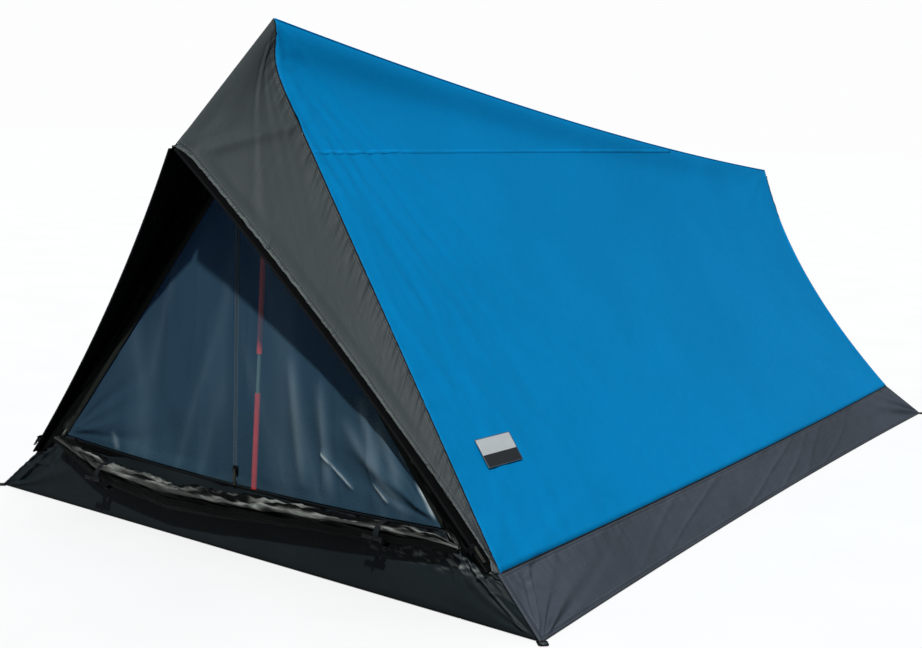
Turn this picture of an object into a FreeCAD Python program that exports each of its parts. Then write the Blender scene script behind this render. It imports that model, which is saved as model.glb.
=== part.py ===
import FreeCAD, Part
import math
import os
import Sketcher
from FreeCAD import Matrix, Placement, Rotation, Vector

# Two-person ridge tent, front towards -Y, +Z up, millimetres.
# Origin: middle of the 2 m long footprint, on the ground.

DIMENSIONS = [
    # footprint and heights
    ("half_length", 1000, "half of the floor's length"),
    ("front_half_width", 604, "half of the floor's width at the front"),
    ("rear_half_width", 450, "half of the floor's width at the rear"),
    ("front_peak_y", -922, "front end of the ridge"),
    ("front_peak_z", 857, "height of the front end of the ridge"),
    ("rear_peak_y", 952, "rear end of the ridge"),
    ("rear_peak_z", 600, "height of the rear end of the ridge"),
    ("awning_peak_y", -1125, "front end of the awning's ridge"),
    ("awning_peak_z", 657, "height of the awning's front end"),
    # seam between roof and wall strip
    ("seam_front_x", 519, "seam corner at the front"),
    ("seam_front_y", -985, "seam corner at the front"),
    ("seam_front_z", 76, "seam corner at the front"),
    ("seam_rear_x", 377, "seam corner at the rear"),
    ("seam_rear_y", 941, "seam corner at the rear"),
    ("seam_rear_z", 70, "seam corner at the rear"),
    ("side_seam_bow", 12, "outward bow of the side seam"),
    ("ground_bow", 15, "inward bow of the side's ground edge between its pegs"),
    # catenary cuts
    ("ridge_sag", 23, "sag of the ridge at its middle"),
    ("front_hollow", 48, "inward hollow of the roof's front edge"),
    ("peak_fin", 0.07, "share of the front edge that hangs close around the pole"),
    ("rear_hollow", 51, "inward hollow of the roof's rear edge"),
    ("awning_hollow", 22, "backward hollow of the awning's front edge"),
    ("panel_join_z", 650, "height of the level seam across the roof"),
    # cloth
    ("cloth", 1.0, "thickness of each cloth solid"),
    ("seam_gap", 1.5, "gap between neighbouring cloth solids"),
    ("floor_thickness", 1.2, "groundsheet"),
    ("corner_cut", 14, "groundsheet corner left free for the peg tab"),
    # door wall
    ("door_plane_y", -994.6, "rear face of the door wall"),
    ("door_cloth", 0.8, "thickness of mesh and door wall"),
    ("door_apex_z", 634, "top of the mesh opening"),
    ("door_base_z", 125, "bottom of the mesh opening"),
    ("door_base_x", 424, "half width of the mesh opening at its bottom"),
    ("door_gap", 0.6, "half gap along the mesh door's sewn edge"),
    ("sill_top_z", 118, "top of the front sill wall"),
    ("centre_gap", 5.0, "distance from the middle to each mesh door's cloth"),
    # zips
    ("coil_radius", 1.5, "zip coil"),
    ("coil_offset", 3.0, "distance from the middle to each mesh coil"),
    ("tape_start", 3, "zip tape, distance from the awning's edge"),
    ("tape_width", 11, "zip tape, distance from the awning's edge to the coil"),
    ("tape_thickness", 0.8, "zip tape"),
    ("slider_length", 14, "zip slider"),
    ("slider_width", 10, "zip slider"),
    ("slider_plate", 1.5, "thickness of a slider's plates"),
    ("slider_clear", 2.6, "half distance between a slider's plates"),
    ("bridge_near", 2.0, "slider bridge, nearest face to the coil's middle"),
    ("bridge_width", 1.2, "slider bridge"),
    ("pull_length", 24, "zip pull"),
    ("pull_width", 5, "zip pull"),
    ("pull_thickness", 1.2, "zip pull"),
    ("bail_height", 1.9, "pull's pivot above the slider's plate"),
    ("bail_radius", 0.6, "pull's pivot bar"),
    ("eye_radius", 1.4, "outside of the pull's eye"),
    ("eye_bore", 0.7, "hole in the pull's eye"),
    ("slider_from_end", 44, "rest place of a door slider above the arc's lower end"),
    # rolled door
    ("roll_y", -1021, "middle of the rolled door"),
    ("tie_wall", 1.2, "thickness of the tie around the roll"),
    ("tie_gap", 0.8, "gap between tie and roll"),
    ("tie_width", 10, "width of the tie"),
    ("toggle_length", 38, "toggle bar"),
    ("toggle_radius", 3.2, "toggle bar"),
    ("toggle_bore", 1.6, "cross hole of the toggle"),
    ("toggle_post", 1.5, "cord post through the toggle"),
    ("toggle_stand_off", 5.5, "toggle's middle in front of the tie"),
    # poles
    ("pole_radius", 4.75, "pole section"),
    ("pole_bore", 3.4, "inside of a pole section"),
    ("spigot_radius", 3.3, "spigot between two sections"),
    ("front_pole_y", -955, "foot of the front pole"),
    ("front_pole_lean", 2.2, "lean of the front pole in degrees"),
    ("rear_pole_y", 924, "foot of the rear pole"),
    ("rear_pole_lean", 0.5, "lean of the rear pole in degrees"),
    ("pole_start", 4, "bottom of the lowest tube"),
    ("spigot_show", 65, "length of spigot that shows between two tubes"),
    ("spigot_grip", 64, "length of spigot held in the tube below"),
    ("spigot_reach", 80, "length of spigot inside the tube above"),
    ("front_lower_top", 254, "top of the front pole's lower tube"),
    ("front_middle_top", 545, "top of the front pole's middle tube"),
    ("front_upper_top", 800, "top of the front pole's upper tube"),
    ("rear_lower_top", 270, "top of the rear pole's lower tube"),
    ("rear_upper_top", 545, "top of the rear pole's upper tube"),
    ("tip_stem", 20, "tip plug inside the tube"),
    ("tip_collar", 4, "tip plug's collar"),
    ("tip_pin_radius", 2.5, "pin of the tip plug"),
    ("front_tip_top", 838, "top of the front pole's pin"),
    ("rear_tip_top", 582, "top of the rear pole's pin"),
    ("cup_wall", 1.3, "wall of the peak cup"),
    ("cup_gap", 0.4, "gap between the pin and its cup"),
    ("cup_height", 14, "depth of the peak cup"),
    ("foot_radius", 6.5, "foot cap"),
    ("seat_patch_radius", 22, "patch under the pole"),
    ("seat_patch_thickness", 0.7, "patch under the pole"),
    ("seat_ring_bore", 7.2, "ring around the foot"),
    ("seat_ring_radius", 9.4, "ring around the foot"),
    ("seat_ring_height", 6, "ring around the foot"),
    # corners and loops
    ("tab_width", 16, "peg tab"),
    ("tab_thickness", 1.4, "peg tab"),
    ("tab_reach", 13, "peg tab past the corner"),
    ("eyelet_place", 6.5, "eyelet past the corner"),
    ("eyelet_bore", 3.25, "hole for the peg"),
    ("eyelet_barrel", 4.1, "outside of the eyelet's barrel"),
    ("eyelet_flange", 5.5, "outside of the eyelet's flange"),
    ("eyelet_height", 2.1, "eyelet"),
    ("loop_width", 14, "guy loop"),
    ("loop_drop", 18, "guy loop"),
    ("loop_thickness", 1.6, "guy loop"),
    ("loop_bore", 4, "hole of the guy loop"),
    # rear vent and label
    ("vent_base_z", 380, "bottom of the rear vent"),
    ("vent_apex_z", 490, "top of the rear vent"),
    ("vent_half_width", 58, "half width of the rear vent"),
    ("gable_y", 939.5, "rear face of the rear gable"),
    ("hood_lean", 22, "angle of the vent hood in degrees"),
    ("label_length", 100, "sewn label"),
    ("label_height", 50, "sewn label"),
    ("label_thickness", 0.6, "sewn label"),
]

# The roll's stations from left to right: x, height of its middle, radius.
ROLL_STATIONS = [
    (-385, 104, 9), (-295, 80, 19), (-120, 71, 22), (0, 78, 21),
    (170, 93, 18), (335, 104, 16), (440, 110, 9), (468, 108, 6),
]
LEFT_TIE_X = -285
RIGHT_TIE_X = 335
LABEL_PLACE = (0.068, 0.82)  # along the ridge, down the roof

doc = FreeCAD.newDocument("ridge_tent")
sheet = doc.addObject("Spreadsheet::Sheet", "dims")
for row, (alias, number, note) in enumerate(DIMENSIONS, start=1):
    sheet.set(f"A{row}", alias)
    sheet.set(f"B{row}", str(number))
    sheet.setAlias(f"B{row}", alias)
    sheet.set(f"C{row}", note)
doc.recompute()

parts = []


def dim(alias):
    return float(sheet.get(alias))


def keep(obj, label):
    """Name a finished sub-part and list it for writing."""
    obj.Label = label
    parts.append(obj)
    return obj


def bind(obj, **expressions):
    """Tie properties to the sheet: bind(box, Length="cloth * 2")."""
    for prop, text in expressions.items():
        obj.setExpression(prop.replace("__", "."), with_sheet(text))
    return obj


def with_sheet(text):
    """Put the sheet's name before every alias in an expression."""
    aliases = {alias for alias, _number, _note in DIMENSIONS}
    words, word = [], ""
    for char in text + " ":
        if char.isalnum() or char == "_":
            word += char
            continue
        words.append(f"dims.{word}" if word in aliases else word)
        words.append(char)
        word = ""
    return "".join(words).strip()


def mirrored(source, label):
    """The same piece on the tent's left side."""
    twin = doc.addObject("Part::Mirroring", label)
    twin.Source = source
    twin.Base = Vector(0, 0, 0)
    twin.Normal = Vector(1, 0, 0)
    return keep(twin, label)


def shaped(shape, label):
    """A sub-part whose shape is made in code from the sheet's sizes."""
    piece = doc.addObject("Part::Feature", label)
    piece.Shape = shape
    return keep(piece, label)


def box(name, **sizes):
    return bind(doc.addObject("Part::Box", name), **sizes)


def cylinder(name, **sizes):
    return bind(doc.addObject("Part::Cylinder", name), **sizes)


def cut(name, base, tool):
    result = doc.addObject("Part::Cut", name)
    result.Base = base
    result.Tool = tool
    return result


def fuse(name, *pieces):
    result = doc.addObject("Part::MultiFuse", name)
    result.Shapes = list(pieces)
    return result


def plate(label, outlines, thickness):
    """A flat PartDesign plate: its outlines are lists of (x, y) expressions."""
    body = doc.addObject("PartDesign::Body", label)
    sketch = body.newObject("Sketcher::SketchObject", f"{label}_sketch")
    plane = [item for item in body.Origin.OriginFeatures if item.Role == "XY_Plane"][0]
    sketch.AttachmentSupport = [(plane, "")]
    sketch.MapMode = "FlatFace"
    for outline in outlines:
        draw_polygon(sketch, outline)
    pad = body.newObject("PartDesign::Pad", f"{label}_pad")
    pad.Profile = sketch
    bind(pad, Length=thickness)
    return body


def draw_polygon(sketch, outline):
    """A closed polygon whose corners are held by expressions."""
    corners = [(evaluate(x), evaluate(y)) for x, y in outline]
    first = sketch.GeometryCount
    count = len(corners)
    for index, corner in enumerate(corners):
        following = corners[(index + 1) % count]
        sketch.addGeometry(Part.LineSegment(Vector(*corner, 0), Vector(*following, 0)), False)
    for index in range(count):
        line = first + index
        following = first + (index + 1) % count
        sketch.addConstraint(Sketcher.Constraint("Coincident", line, 2, following, 1))
    for index, (x_text, y_text) in enumerate(outline):
        x_value, y_value = corners[index]
        place = sketch.addConstraint(
            Sketcher.Constraint("DistanceX", -1, 1, first + index, 1, x_value))
        sketch.setExpression(f"Constraints[{place}]", with_sheet(x_text))
        place = sketch.addConstraint(
            Sketcher.Constraint("DistanceY", -1, 1, first + index, 1, y_value))
        sketch.setExpression(f"Constraints[{place}]", with_sheet(y_text))


def evaluate(text):
    """The number that an expression of the sheet stands for."""
    result = sheet.evalExpression(with_sheet(text))
    return float(getattr(result, "Value", result))


def upright(y_text):
    """Stand a plate up: its x stays X, its y becomes Z, its thickness runs to -Y."""
    return Placement(Vector(0, evaluate(y_text), 0), Rotation(Vector(1, 0, 0), 90))


def stand(body, y_text):
    body.Placement = upright(y_text)
    bind(body, Placement__Base__y=y_text)
    return body


# ---------------------------------------------------------------- outline of the cloth

FRONT_PEAK = Vector(0, dim("front_peak_y"), dim("front_peak_z"))
REAR_PEAK = Vector(0, dim("rear_peak_y"), dim("rear_peak_z"))
AWNING_PEAK = Vector(0, dim("awning_peak_y"), dim("awning_peak_z"))
SEAM_FRONT = Vector(dim("seam_front_x"), dim("seam_front_y"), dim("seam_front_z"))
SEAM_REAR = Vector(dim("seam_rear_x"), dim("seam_rear_y"), dim("seam_rear_z"))
FRONT_CORNER = Vector(dim("front_half_width"), -dim("half_length"), 0)
REAR_CORNER = Vector(dim("rear_half_width"), dim("half_length"), 0)


def between(start, end, share):
    return start + (end - start) * share


def bow(share):
    """0 at both ends and 1 in the middle."""
    return 4 * share * (1 - share)


def ridge(along):
    return between(FRONT_PEAK, REAR_PEAK, along) - Vector(0, 0, dim("ridge_sag") * bow(along))


def front_edge(down):
    """The roof's front edge: it hangs close around the pole, then flares out."""
    hollow = dim("front_hollow") * (1 - down) * (1 - math.exp(-(down / dim("peak_fin")) ** 2))
    return between(FRONT_PEAK, SEAM_FRONT, down) - Vector(hollow, 0, 0)


def rear_edge(down):
    return between(REAR_PEAK, SEAM_REAR, down) - Vector(dim("rear_hollow") * bow(down), 0, 0)


def side_seam(along):
    return between(SEAM_FRONT, SEAM_REAR, along) + Vector(dim("side_seam_bow") * bow(along), 0, 0)


def ground_edge(along):
    return between(FRONT_CORNER, REAR_CORNER, along) - Vector(dim("ground_bow") * bow(along), 0, 0)


def roof_point(along, down):
    """A sheet stretched between the ridge, both end edges and the side seam."""
    lengthwise = between(ridge(along), side_seam(along), down)
    crosswise = between(front_edge(down), rear_edge(down), along)
    top = between(FRONT_PEAK, REAR_PEAK, along)
    bottom = between(SEAM_FRONT, SEAM_REAR, along)
    return lengthwise + crosswise - between(top, bottom, down)


def smooth_line(points):
    """A straight edge through two points, or one smooth curve through more."""
    if len(points) == 2:
        return Part.LineSegment(*points).toShape()
    curve = Part.BSplineCurve()
    curve.interpolate(points)
    return curve.toShape()


def sheet_solid(point, rows, columns, outward):
    """A thin closed solid lofted through smooth cross-sections."""
    sections = [Part.Wire(smooth_line([point(row, column) for column in columns]))
                for row in rows]
    surface = Part.makeLoft(sections, False, False).Faces[0]
    return surface.extrude(outward * dim("cloth"))


def quarters(count=4):
    return [step / count for step in range(count + 1)]


# ---------------------------------------------------------------- awning edge and its zip

class ZipArc:
    """The right awning edge as one circular arc, with its own axes."""

    def __init__(self):
        start = AWNING_PEAK
        end = SEAM_FRONT + Vector(-6, -9, 0)
        chord = end - start
        length = chord.Length
        self.down = Vector(chord).normalize()
        back = Vector(0, 1, 0)
        self.back = (back - self.down * back.dot(self.down)).normalize()
        self.out = self.down.cross(self.back)
        hollow = dim("awning_hollow")
        self.radius = (length * length / 4 + hollow * hollow) / (2 * hollow)
        self.centre = between(start, end, 0.5) - self.back * (self.radius - hollow)
        self.half_angle = math.asin(length / 2 / self.radius)

    def point(self, share, inside=0.0, above=0.0):
        """share runs from the peak (0) to the corner (1)."""
        angle = self.half_angle * (2 * share - 1)
        radius = self.radius - inside
        across = self.back * math.cos(angle) + self.down * math.sin(angle)
        return self.centre + across * radius + self.out * above

    def frame(self, share):
        """Axes at a place on the arc: down the arc, into the opening, outward."""
        angle = self.half_angle * (2 * share - 1)
        inward = (self.back * math.cos(angle) + self.down * math.sin(angle)) * -1
        along = self.down * math.cos(angle) - self.back * math.sin(angle)
        return along, inward, self.out


zip_arc = ZipArc()


def awning_point(forward, down):
    return between(front_edge(down), zip_arc.point(down), forward)


# ---------------------------------------------------------------- cloth panels


def make_roof():
    outward = (SEAM_FRONT - FRONT_PEAK).cross(REAR_PEAK - FRONT_PEAK).normalize()
    if outward.x < 0:
        outward = outward * -1
    # the cloth stops a little short of the ridge, so that its twin can meet it
    down_steps = [0, 0.03, 0.08, 0.16, 0.3, 0.5, 0.75, 1]
    whole = sheet_solid(roof_point, quarters(), down_steps, outward)
    whole.translate(Vector(0.2, 0, 0))
    join = dim("panel_join_z")
    half_gap = dim("seam_gap") / 2
    size = 3000
    above = Part.makeBox(size, size, size, Vector(-size / 2, -size / 2, join + half_gap))
    below = Part.makeBox(size, size, size, Vector(-size / 2, -size / 2, join - half_gap - size))
    for name, half in (("roof_lower", below), ("roof_upper", above)):
        right = shaped(whole.common(half).Solids[0], f"{name}_right")
        mirrored(right, f"{name}_left")


def make_awning():
    outward = (SEAM_FRONT - FRONT_PEAK).cross(AWNING_PEAK - FRONT_PEAK).normalize()
    if outward.x < 0:
        outward = outward * -1

    gap = dim("seam_gap")
    down_steps = [0.004, 0.03, 0.08, 0.16, 0.3, 0.5, 0.75, 1]
    forward_steps = [0.012, 0.5, 1]
    solid = sheet_solid(awning_point, forward_steps, down_steps, outward)
    solid.translate(Vector(0.2, -gap, 0))
    mirrored(shaped(solid, "awning_right"), "awning_left")


def make_side_walls():
    gap = dim("seam_gap")

    def point(along, down):
        upper = side_seam(along) - Vector(0, 0, gap)
        lower = ground_edge(along) + Vector(0, 0, dim("floor_thickness") + 0.4)
        return between(upper, lower, down)

    along_steps = [0.003] + quarters()[1:-1] + [0.997]
    solid = sheet_solid(point, along_steps, [0, 1], Vector(1, 0, 1).normalize())
    mirrored(shaped(solid, "side_wall_right"), "side_wall_left")


def make_rear():
    gap = dim("seam_gap")

    def wall_point(across, down):
        side = 2 * across - 1
        upper = Vector((SEAM_REAR.x - 3) * side, SEAM_REAR.y, SEAM_REAR.z - 2)
        lower = Vector((REAR_CORNER.x - 4) * side, REAR_CORNER.y - 1,
                       dim("floor_thickness") + 0.4)
        return between(upper, lower, down)

    shaped(sheet_solid(wall_point, quarters(), [0, 1], Vector(0, 1, 1).normalize()), "rear_wall")

    # gable: follows the roof's hollow rear edge, with the vent cut out
    def gable_point(down, side):
        edge = rear_edge(down)
        return Vector((edge.x - 2 * gap) * side, dim("gable_y"), edge.z)

    shares = [0.06, 0.25, 0.5, 0.75, 0.99]
    curves = []
    for side in (1, -1):
        curves.append(smooth_line([gable_point(share, side) for share in shares]))
    top = Part.LineSegment(gable_point(shares[0], 1), gable_point(shares[0], -1)).toShape()
    base = Part.LineSegment(gable_point(shares[-1], 1), gable_point(shares[-1], -1)).toShape()
    outline = Part.Wire(Part.__sortEdges__([curves[0], base, curves[1], top]))
    gable = Part.Face(outline).extrude(Vector(0, -dim("cloth"), 0))
    window = vent_outline(0)
    window.translate(Vector(0, dim("gable_y") + 1, 0))
    shaped(gable.cut(window.extrude(Vector(0, -4, 0))), "rear_gable")

    mesh = stand(plate("rear_vent_mesh", [[
        ("vent_half_width - 4", "vent_base_z + 2"),
        ("0", "vent_apex_z - 4"),
        ("4 - vent_half_width", "vent_base_z + 2"),
    ]], "door_cloth"), "gable_y - 0.1")
    keep(mesh, "rear_vent_mesh")

    hood = plate("rear_vent_hood", [[
        ("-vent_half_width - 10", "vent_base_z - vent_apex_z + 4"),
        ("vent_half_width + 10", "vent_base_z - vent_apex_z + 4"),
        ("6", "0"),
        ("-6", "0"),
    ]], "cloth")
    lean = 90 - dim("hood_lean")
    hood.Placement = Placement(Vector(0, dim("gable_y") + 2, dim("vent_apex_z") + 8),
                               Rotation(Vector(1, 0, 0), lean + 2 * dim("hood_lean")))
    bind(hood, Placement__Base__y="gable_y + 2", Placement__Base__z="vent_apex_z + 8")
    keep(hood, "rear_vent_hood")


def vent_outline(margin):
    half = dim("vent_half_width") - margin
    corners = [Vector(half, 0, dim("vent_base_z")), Vector(0, 0, dim("vent_apex_z")),
               Vector(-half, 0, dim("vent_base_z"))]
    return Part.Face(Part.makePolygon(corners + corners[:1]))


def make_floor():
    thickness = dim("floor_thickness")
    trim = dim("corner_cut")
    edges = []
    ends = []
    for side in (1, -1):
        front = ground_edge(trim / 2000)
        middle = ground_edge(0.5)
        rear = ground_edge(1 - trim / 2000)
        points = [Vector(p.x * side, p.y, 0) for p in (front, middle, rear)]
        edges.append(Part.Arc(*points).toShape())
        ends.append((points[0], points[2]))
    for place, y_side in ((0, -1), (1, 1)):
        right = ends[0][place]
        left = ends[1][place]
        y_edge = y_side * dim("half_length")
        right_in = Vector(right.x - trim, y_edge, 0)
        left_in = Vector(left.x + trim, y_edge, 0)
        edges.append(Part.LineSegment(right, right_in).toShape())
        edges.append(Part.LineSegment(right_in, left_in).toShape())
        edges.append(Part.LineSegment(left_in, left).toShape())
    outline = Part.Wire(Part.__sortEdges__(edges))
    shaped(Part.Face(outline).extrude(Vector(0, 0, thickness)), "groundsheet")


# ---------------------------------------------------------------- door wall


def make_door_wall():
    sill = plate("front_sill", [[
        ("4 - front_half_width", "floor_thickness + 0.4"),
        ("front_half_width - 4", "floor_thickness + 0.4"),
        ("seam_front_x - 9", "seam_front_z - 4"),
        ("door_base_x + 16", "sill_top_z"),
        ("-door_base_x - 16", "sill_top_z"),
        ("9 - seam_front_x", "seam_front_z - 4"),
    ]], "door_cloth")
    keep(stand(sill, "door_plane_y"), "front_sill")

    border = plate("door_border_right", [[
        ("door_base_x + 14", "door_base_z - 3"),
        ("317", "300"),
        ("174", "500"),
        ("98", "600"),
        ("28", "700"),
        ("0.5", "758"),
        ("0.5", "door_apex_z + 2"),
        ("door_base_x + 2", "door_base_z - 3"),
    ]], "door_cloth")
    keep(stand(border, "door_plane_y"), "door_border_right")
    mirrored(border, "door_border_left")

    slope = "(door_base_x / (door_apex_z - door_base_z))"
    panel = plate("mesh_door_right", [[
        ("centre_gap", "door_base_z"),
        (f"door_base_x - door_gap * sqrt(1 + {slope} ^ 2)", "door_base_z"),
        ("centre_gap", f"door_apex_z - (centre_gap + door_gap * sqrt(1 + {slope} ^ 2)) / {slope}"),
    ]], "door_cloth")
    keep(stand(panel, "door_plane_y"), "mesh_door_right")
    mirrored(panel, "mesh_door_left")


def make_mesh_zip():
    """One coil on each mesh door's free edge, the slider on the right one."""
    coil = cylinder("mesh_coil", Radius="coil_radius",
                    Height="door_apex_z - door_base_z - 26",
                    Placement__Base__x="coil_offset",
                    Placement__Base__y="door_plane_y - door_cloth / 2",
                    Placement__Base__z="door_base_z + 1")
    web = box("mesh_coil_web", Length="centre_gap - coil_offset - 0.1", Width="door_cloth",
              Height="door_apex_z - door_base_z - 26",
              Placement__Base__x="coil_offset",
              Placement__Base__y="door_plane_y - door_cloth",
              Placement__Base__z="door_base_z + 1")
    right = keep(fuse("mesh_zip_right", coil, web), "mesh_zip_right")
    mirrored(right, "mesh_zip_left")


def make_sill_zip():
    length = "2 * door_base_x - 20"
    turn = Rotation(Vector(0, 1, 0), 90)
    coil = cylinder("sill_coil", Radius="coil_radius", Height=length)
    coil.Placement = Placement(Vector(0, 0, 0), turn)
    bind(coil, Placement__Base__x="10 - door_base_x",
         Placement__Base__y="door_plane_y - door_cloth / 2",
         Placement__Base__z="sill_top_z + 2.8")
    tape = box("sill_tape", Length=length, Width="tape_thickness", Height="tape_width + 2.4",
               Placement__Base__x="10 - door_base_x",
               Placement__Base__y="door_plane_y + 0.3",
               Placement__Base__z="sill_top_z - tape_width - 1")
    web = box("sill_web", Length=length, Width="door_cloth / 2 + 0.3 + tape_thickness",
              Height="1", Placement__Base__x="10 - door_base_x",
              Placement__Base__y="door_plane_y - door_cloth / 2",
              Placement__Base__z="sill_top_z + 0.4")
    keep(fuse("sill_zip", coil, tape, web), "sill_zip")


def make_door_zip():
    """Tape and coil along the awning's front edge."""
    share = 0.5 * 10 / (zip_arc.radius * zip_arc.half_angle)
    width = dim("tape_width")
    half = dim("tape_thickness") / 2

    def arc_edge(inside):
        points = [zip_arc.point(at, inside, -half) for at in (share, 0.5, 1 - share)]
        return Part.Arc(*points).toShape()

    outer = arc_edge(dim("tape_start"))
    inner = arc_edge(width)
    ends = [Part.LineSegment(outer.Vertexes[end].Point, inner.Vertexes[end].Point).toShape()
            for end in (0, 1)]
    face = Part.Face(Part.Wire(Part.__sortEdges__([outer, ends[1], inner, ends[0]])))
    tape = face.extrude(zip_arc.out * (2 * half))
    along, _inward, _out = zip_arc.frame(share)
    ring = Part.Circle(zip_arc.point(share, width), along, dim("coil_radius"))
    sweep = math.degrees(2 * zip_arc.half_angle * (1 - 2 * share))
    coil = Part.Face(Part.Wire(ring.toShape())).revolve(
        zip_arc.centre, zip_arc.back.cross(zip_arc.down), sweep)
    right = shaped(tape.fuse(coil).removeSplitter(), "door_zip_right")
    mirrored(right, "door_zip_left")


def make_slider(name):
    """Slider around a coil: x along the zip, tape leaving towards -y, bail on +z."""
    reach = "slider_width - bridge_near - bridge_width"
    top = box(f"{name}_top", Length="slider_length", Width="slider_width", Height="slider_plate",
              Placement__Base__x="-slider_length / 2", Placement__Base__y=f"-({reach})",
              Placement__Base__z="slider_clear")
    bottom = box(f"{name}_bottom", Length="slider_length", Width="slider_width",
                 Height="slider_plate",
                 Placement__Base__x="-slider_length / 2", Placement__Base__y=f"-({reach})",
                 Placement__Base__z="-slider_clear - slider_plate")
    bridge = box(f"{name}_bridge", Length="slider_length - 4", Width="bridge_width",
                 Height="2 * slider_clear + 2 * slider_plate",
                 Placement__Base__x="2 - slider_length / 2", Placement__Base__y="bridge_near",
                 Placement__Base__z="-slider_clear - slider_plate")
    return [top, bottom, bridge]


def make_bail(name):
    """Two cheeks and a bar that the pull turns on."""
    pieces = []
    middle = "((bridge_near + bridge_width) - slider_width / 2)"
    for index, side in enumerate(("-1", "1")):
        pieces.append(box(
            f"{name}_cheek_{index}", Length="3.2", Width="1", Height="bail_height + 1.1",
            Placement__Base__x="-1.6",
            Placement__Base__y=f"{middle} + {side} * (pull_width / 2 + 0.9) - 0.5",
            Placement__Base__z="slider_clear + slider_plate - 0.2"))
    bar = cylinder(f"{name}_bar", Radius="bail_radius", Height="pull_width + 2.2")
    bar.Placement = Placement(Vector(0, 0, 0), Rotation(Vector(1, 0, 0), -90))
    bind(bar, Placement__Base__y=f"{middle} - pull_width / 2 - 1.1",
         Placement__Base__z="slider_clear + slider_plate + bail_height")
    return pieces + [bar]


def make_pull(name):
    """A pull whose eye sits on the bail's bar and whose blade points along -x."""
    middle = "((bridge_near + bridge_width) - slider_width / 2)"
    eye = cylinder(f"{name}_eye", Radius="eye_radius", Height="pull_width")
    hole = cylinder(f"{name}_hole", Radius="eye_bore", Height="pull_width + 2")
    for shape, shift in ((eye, "0"), (hole, "1")):
        shape.Placement = Placement(Vector(0, 0, 0), Rotation(Vector(1, 0, 0), -90))
        bind(shape, Placement__Base__y=f"{middle} - pull_width / 2 - {shift}",
             Placement__Base__z="slider_clear + slider_plate + bail_height")
    blade = box(f"{name}_blade", Length="pull_length", Width="pull_width",
                Height="pull_thickness",
                Placement__Base__x="-pull_length - 0.4",
                Placement__Base__y=f"{middle} - pull_width / 2",
                Placement__Base__z="slider_clear + slider_plate + bail_height"
                                   " - pull_thickness / 2")
    finger = cylinder(f"{name}_finger", Radius="pull_width / 2 - 1", Height="4",
                      Placement__Base__x="3 - pull_length", Placement__Base__y=middle,
                      Placement__Base__z="slider_clear")
    solid = fuse(f"{name}_solid", eye, blade)
    bored = cut(f"{name}_bored", solid, hole)
    return cut(f"{name}_pull", bored, finger)


def axes_placement(origin, x_axis, y_axis, z_axis):
    return Placement(Matrix(
        x_axis.x, y_axis.x, z_axis.x, origin.x,
        x_axis.y, y_axis.y, z_axis.y, origin.y,
        x_axis.z, y_axis.z, z_axis.z, origin.z,
        0, 0, 0, 1))


def make_sliders():
    # outer door: the slider rests low on the awning's edge
    share = 1 - dim("slider_from_end") / (2 * zip_arc.radius * zip_arc.half_angle)
    along, inward, outward = zip_arc.frame(share)
    place = axes_placement(zip_arc.point(share, dim("tape_width")), along * -1, inward, outward)
    body = fuse("door_slider", *make_slider("door_slider"), *make_bail("door_slider"))
    pull = make_pull("door_slider")
    for piece, label in ((body, "door_zip_slider_right"), (pull, "door_zip_pull_right")):
        piece.Placement = place
        keep(piece, label)
        mirrored(piece, label.replace("right", "left"))

    # mesh door: the slider rests at the bottom of the right coil, its bail to the front
    centre_y = dim("door_plane_y") - dim("door_cloth") / 2
    place = axes_placement(
        Vector(dim("coil_offset"), centre_y, dim("door_base_z") + 12),
        Vector(0, 0, 1), Vector(-1, 0, 0), Vector(0, -1, 0))
    body = fuse("mesh_slider", *make_slider("mesh_slider"), *make_bail("mesh_slider"))
    pull = make_pull("mesh_slider")
    for piece, label in ((body, "mesh_zip_slider"), (pull, "mesh_zip_pull")):
        piece.Placement = place
        keep(piece, label)

    # sill zip: a slider without a pull, at the left end of the sill
    place = axes_placement(
        Vector(22 - dim("door_base_x"), centre_y, dim("sill_top_z") + 2.8),
        Vector(1, 0, 0), Vector(0, 0, 1), Vector(0, -1, 0))
    body = fuse("sill_slider", *make_slider("sill_slider"))
    body.Placement = place
    keep(body, "sill_zip_slider")


# ---------------------------------------------------------------- rolled door


def make_roll():
    rings = []
    for x, z, radius in ROLL_STATIONS:
        circle = Part.Circle(Vector(x, dim("roll_y"), z), Vector(1, 0, 0), radius)
        rings.append(Part.Wire(circle.toShape()))
    shaped(Part.makeLoft(rings, True), "rolled_door")


def roll_at(x):
    """Middle height and radius of the roll at a place along it."""
    for (x0, z0, r0), (x1, z1, r1) in zip(ROLL_STATIONS, ROLL_STATIONS[1:]):
        if x0 <= x <= x1:
            share = (x - x0) / (x1 - x0)
            return z0 + (z1 - z0) * share, r0 + (r1 - r0) * share
    raise ValueError("no roll at this place")


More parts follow.
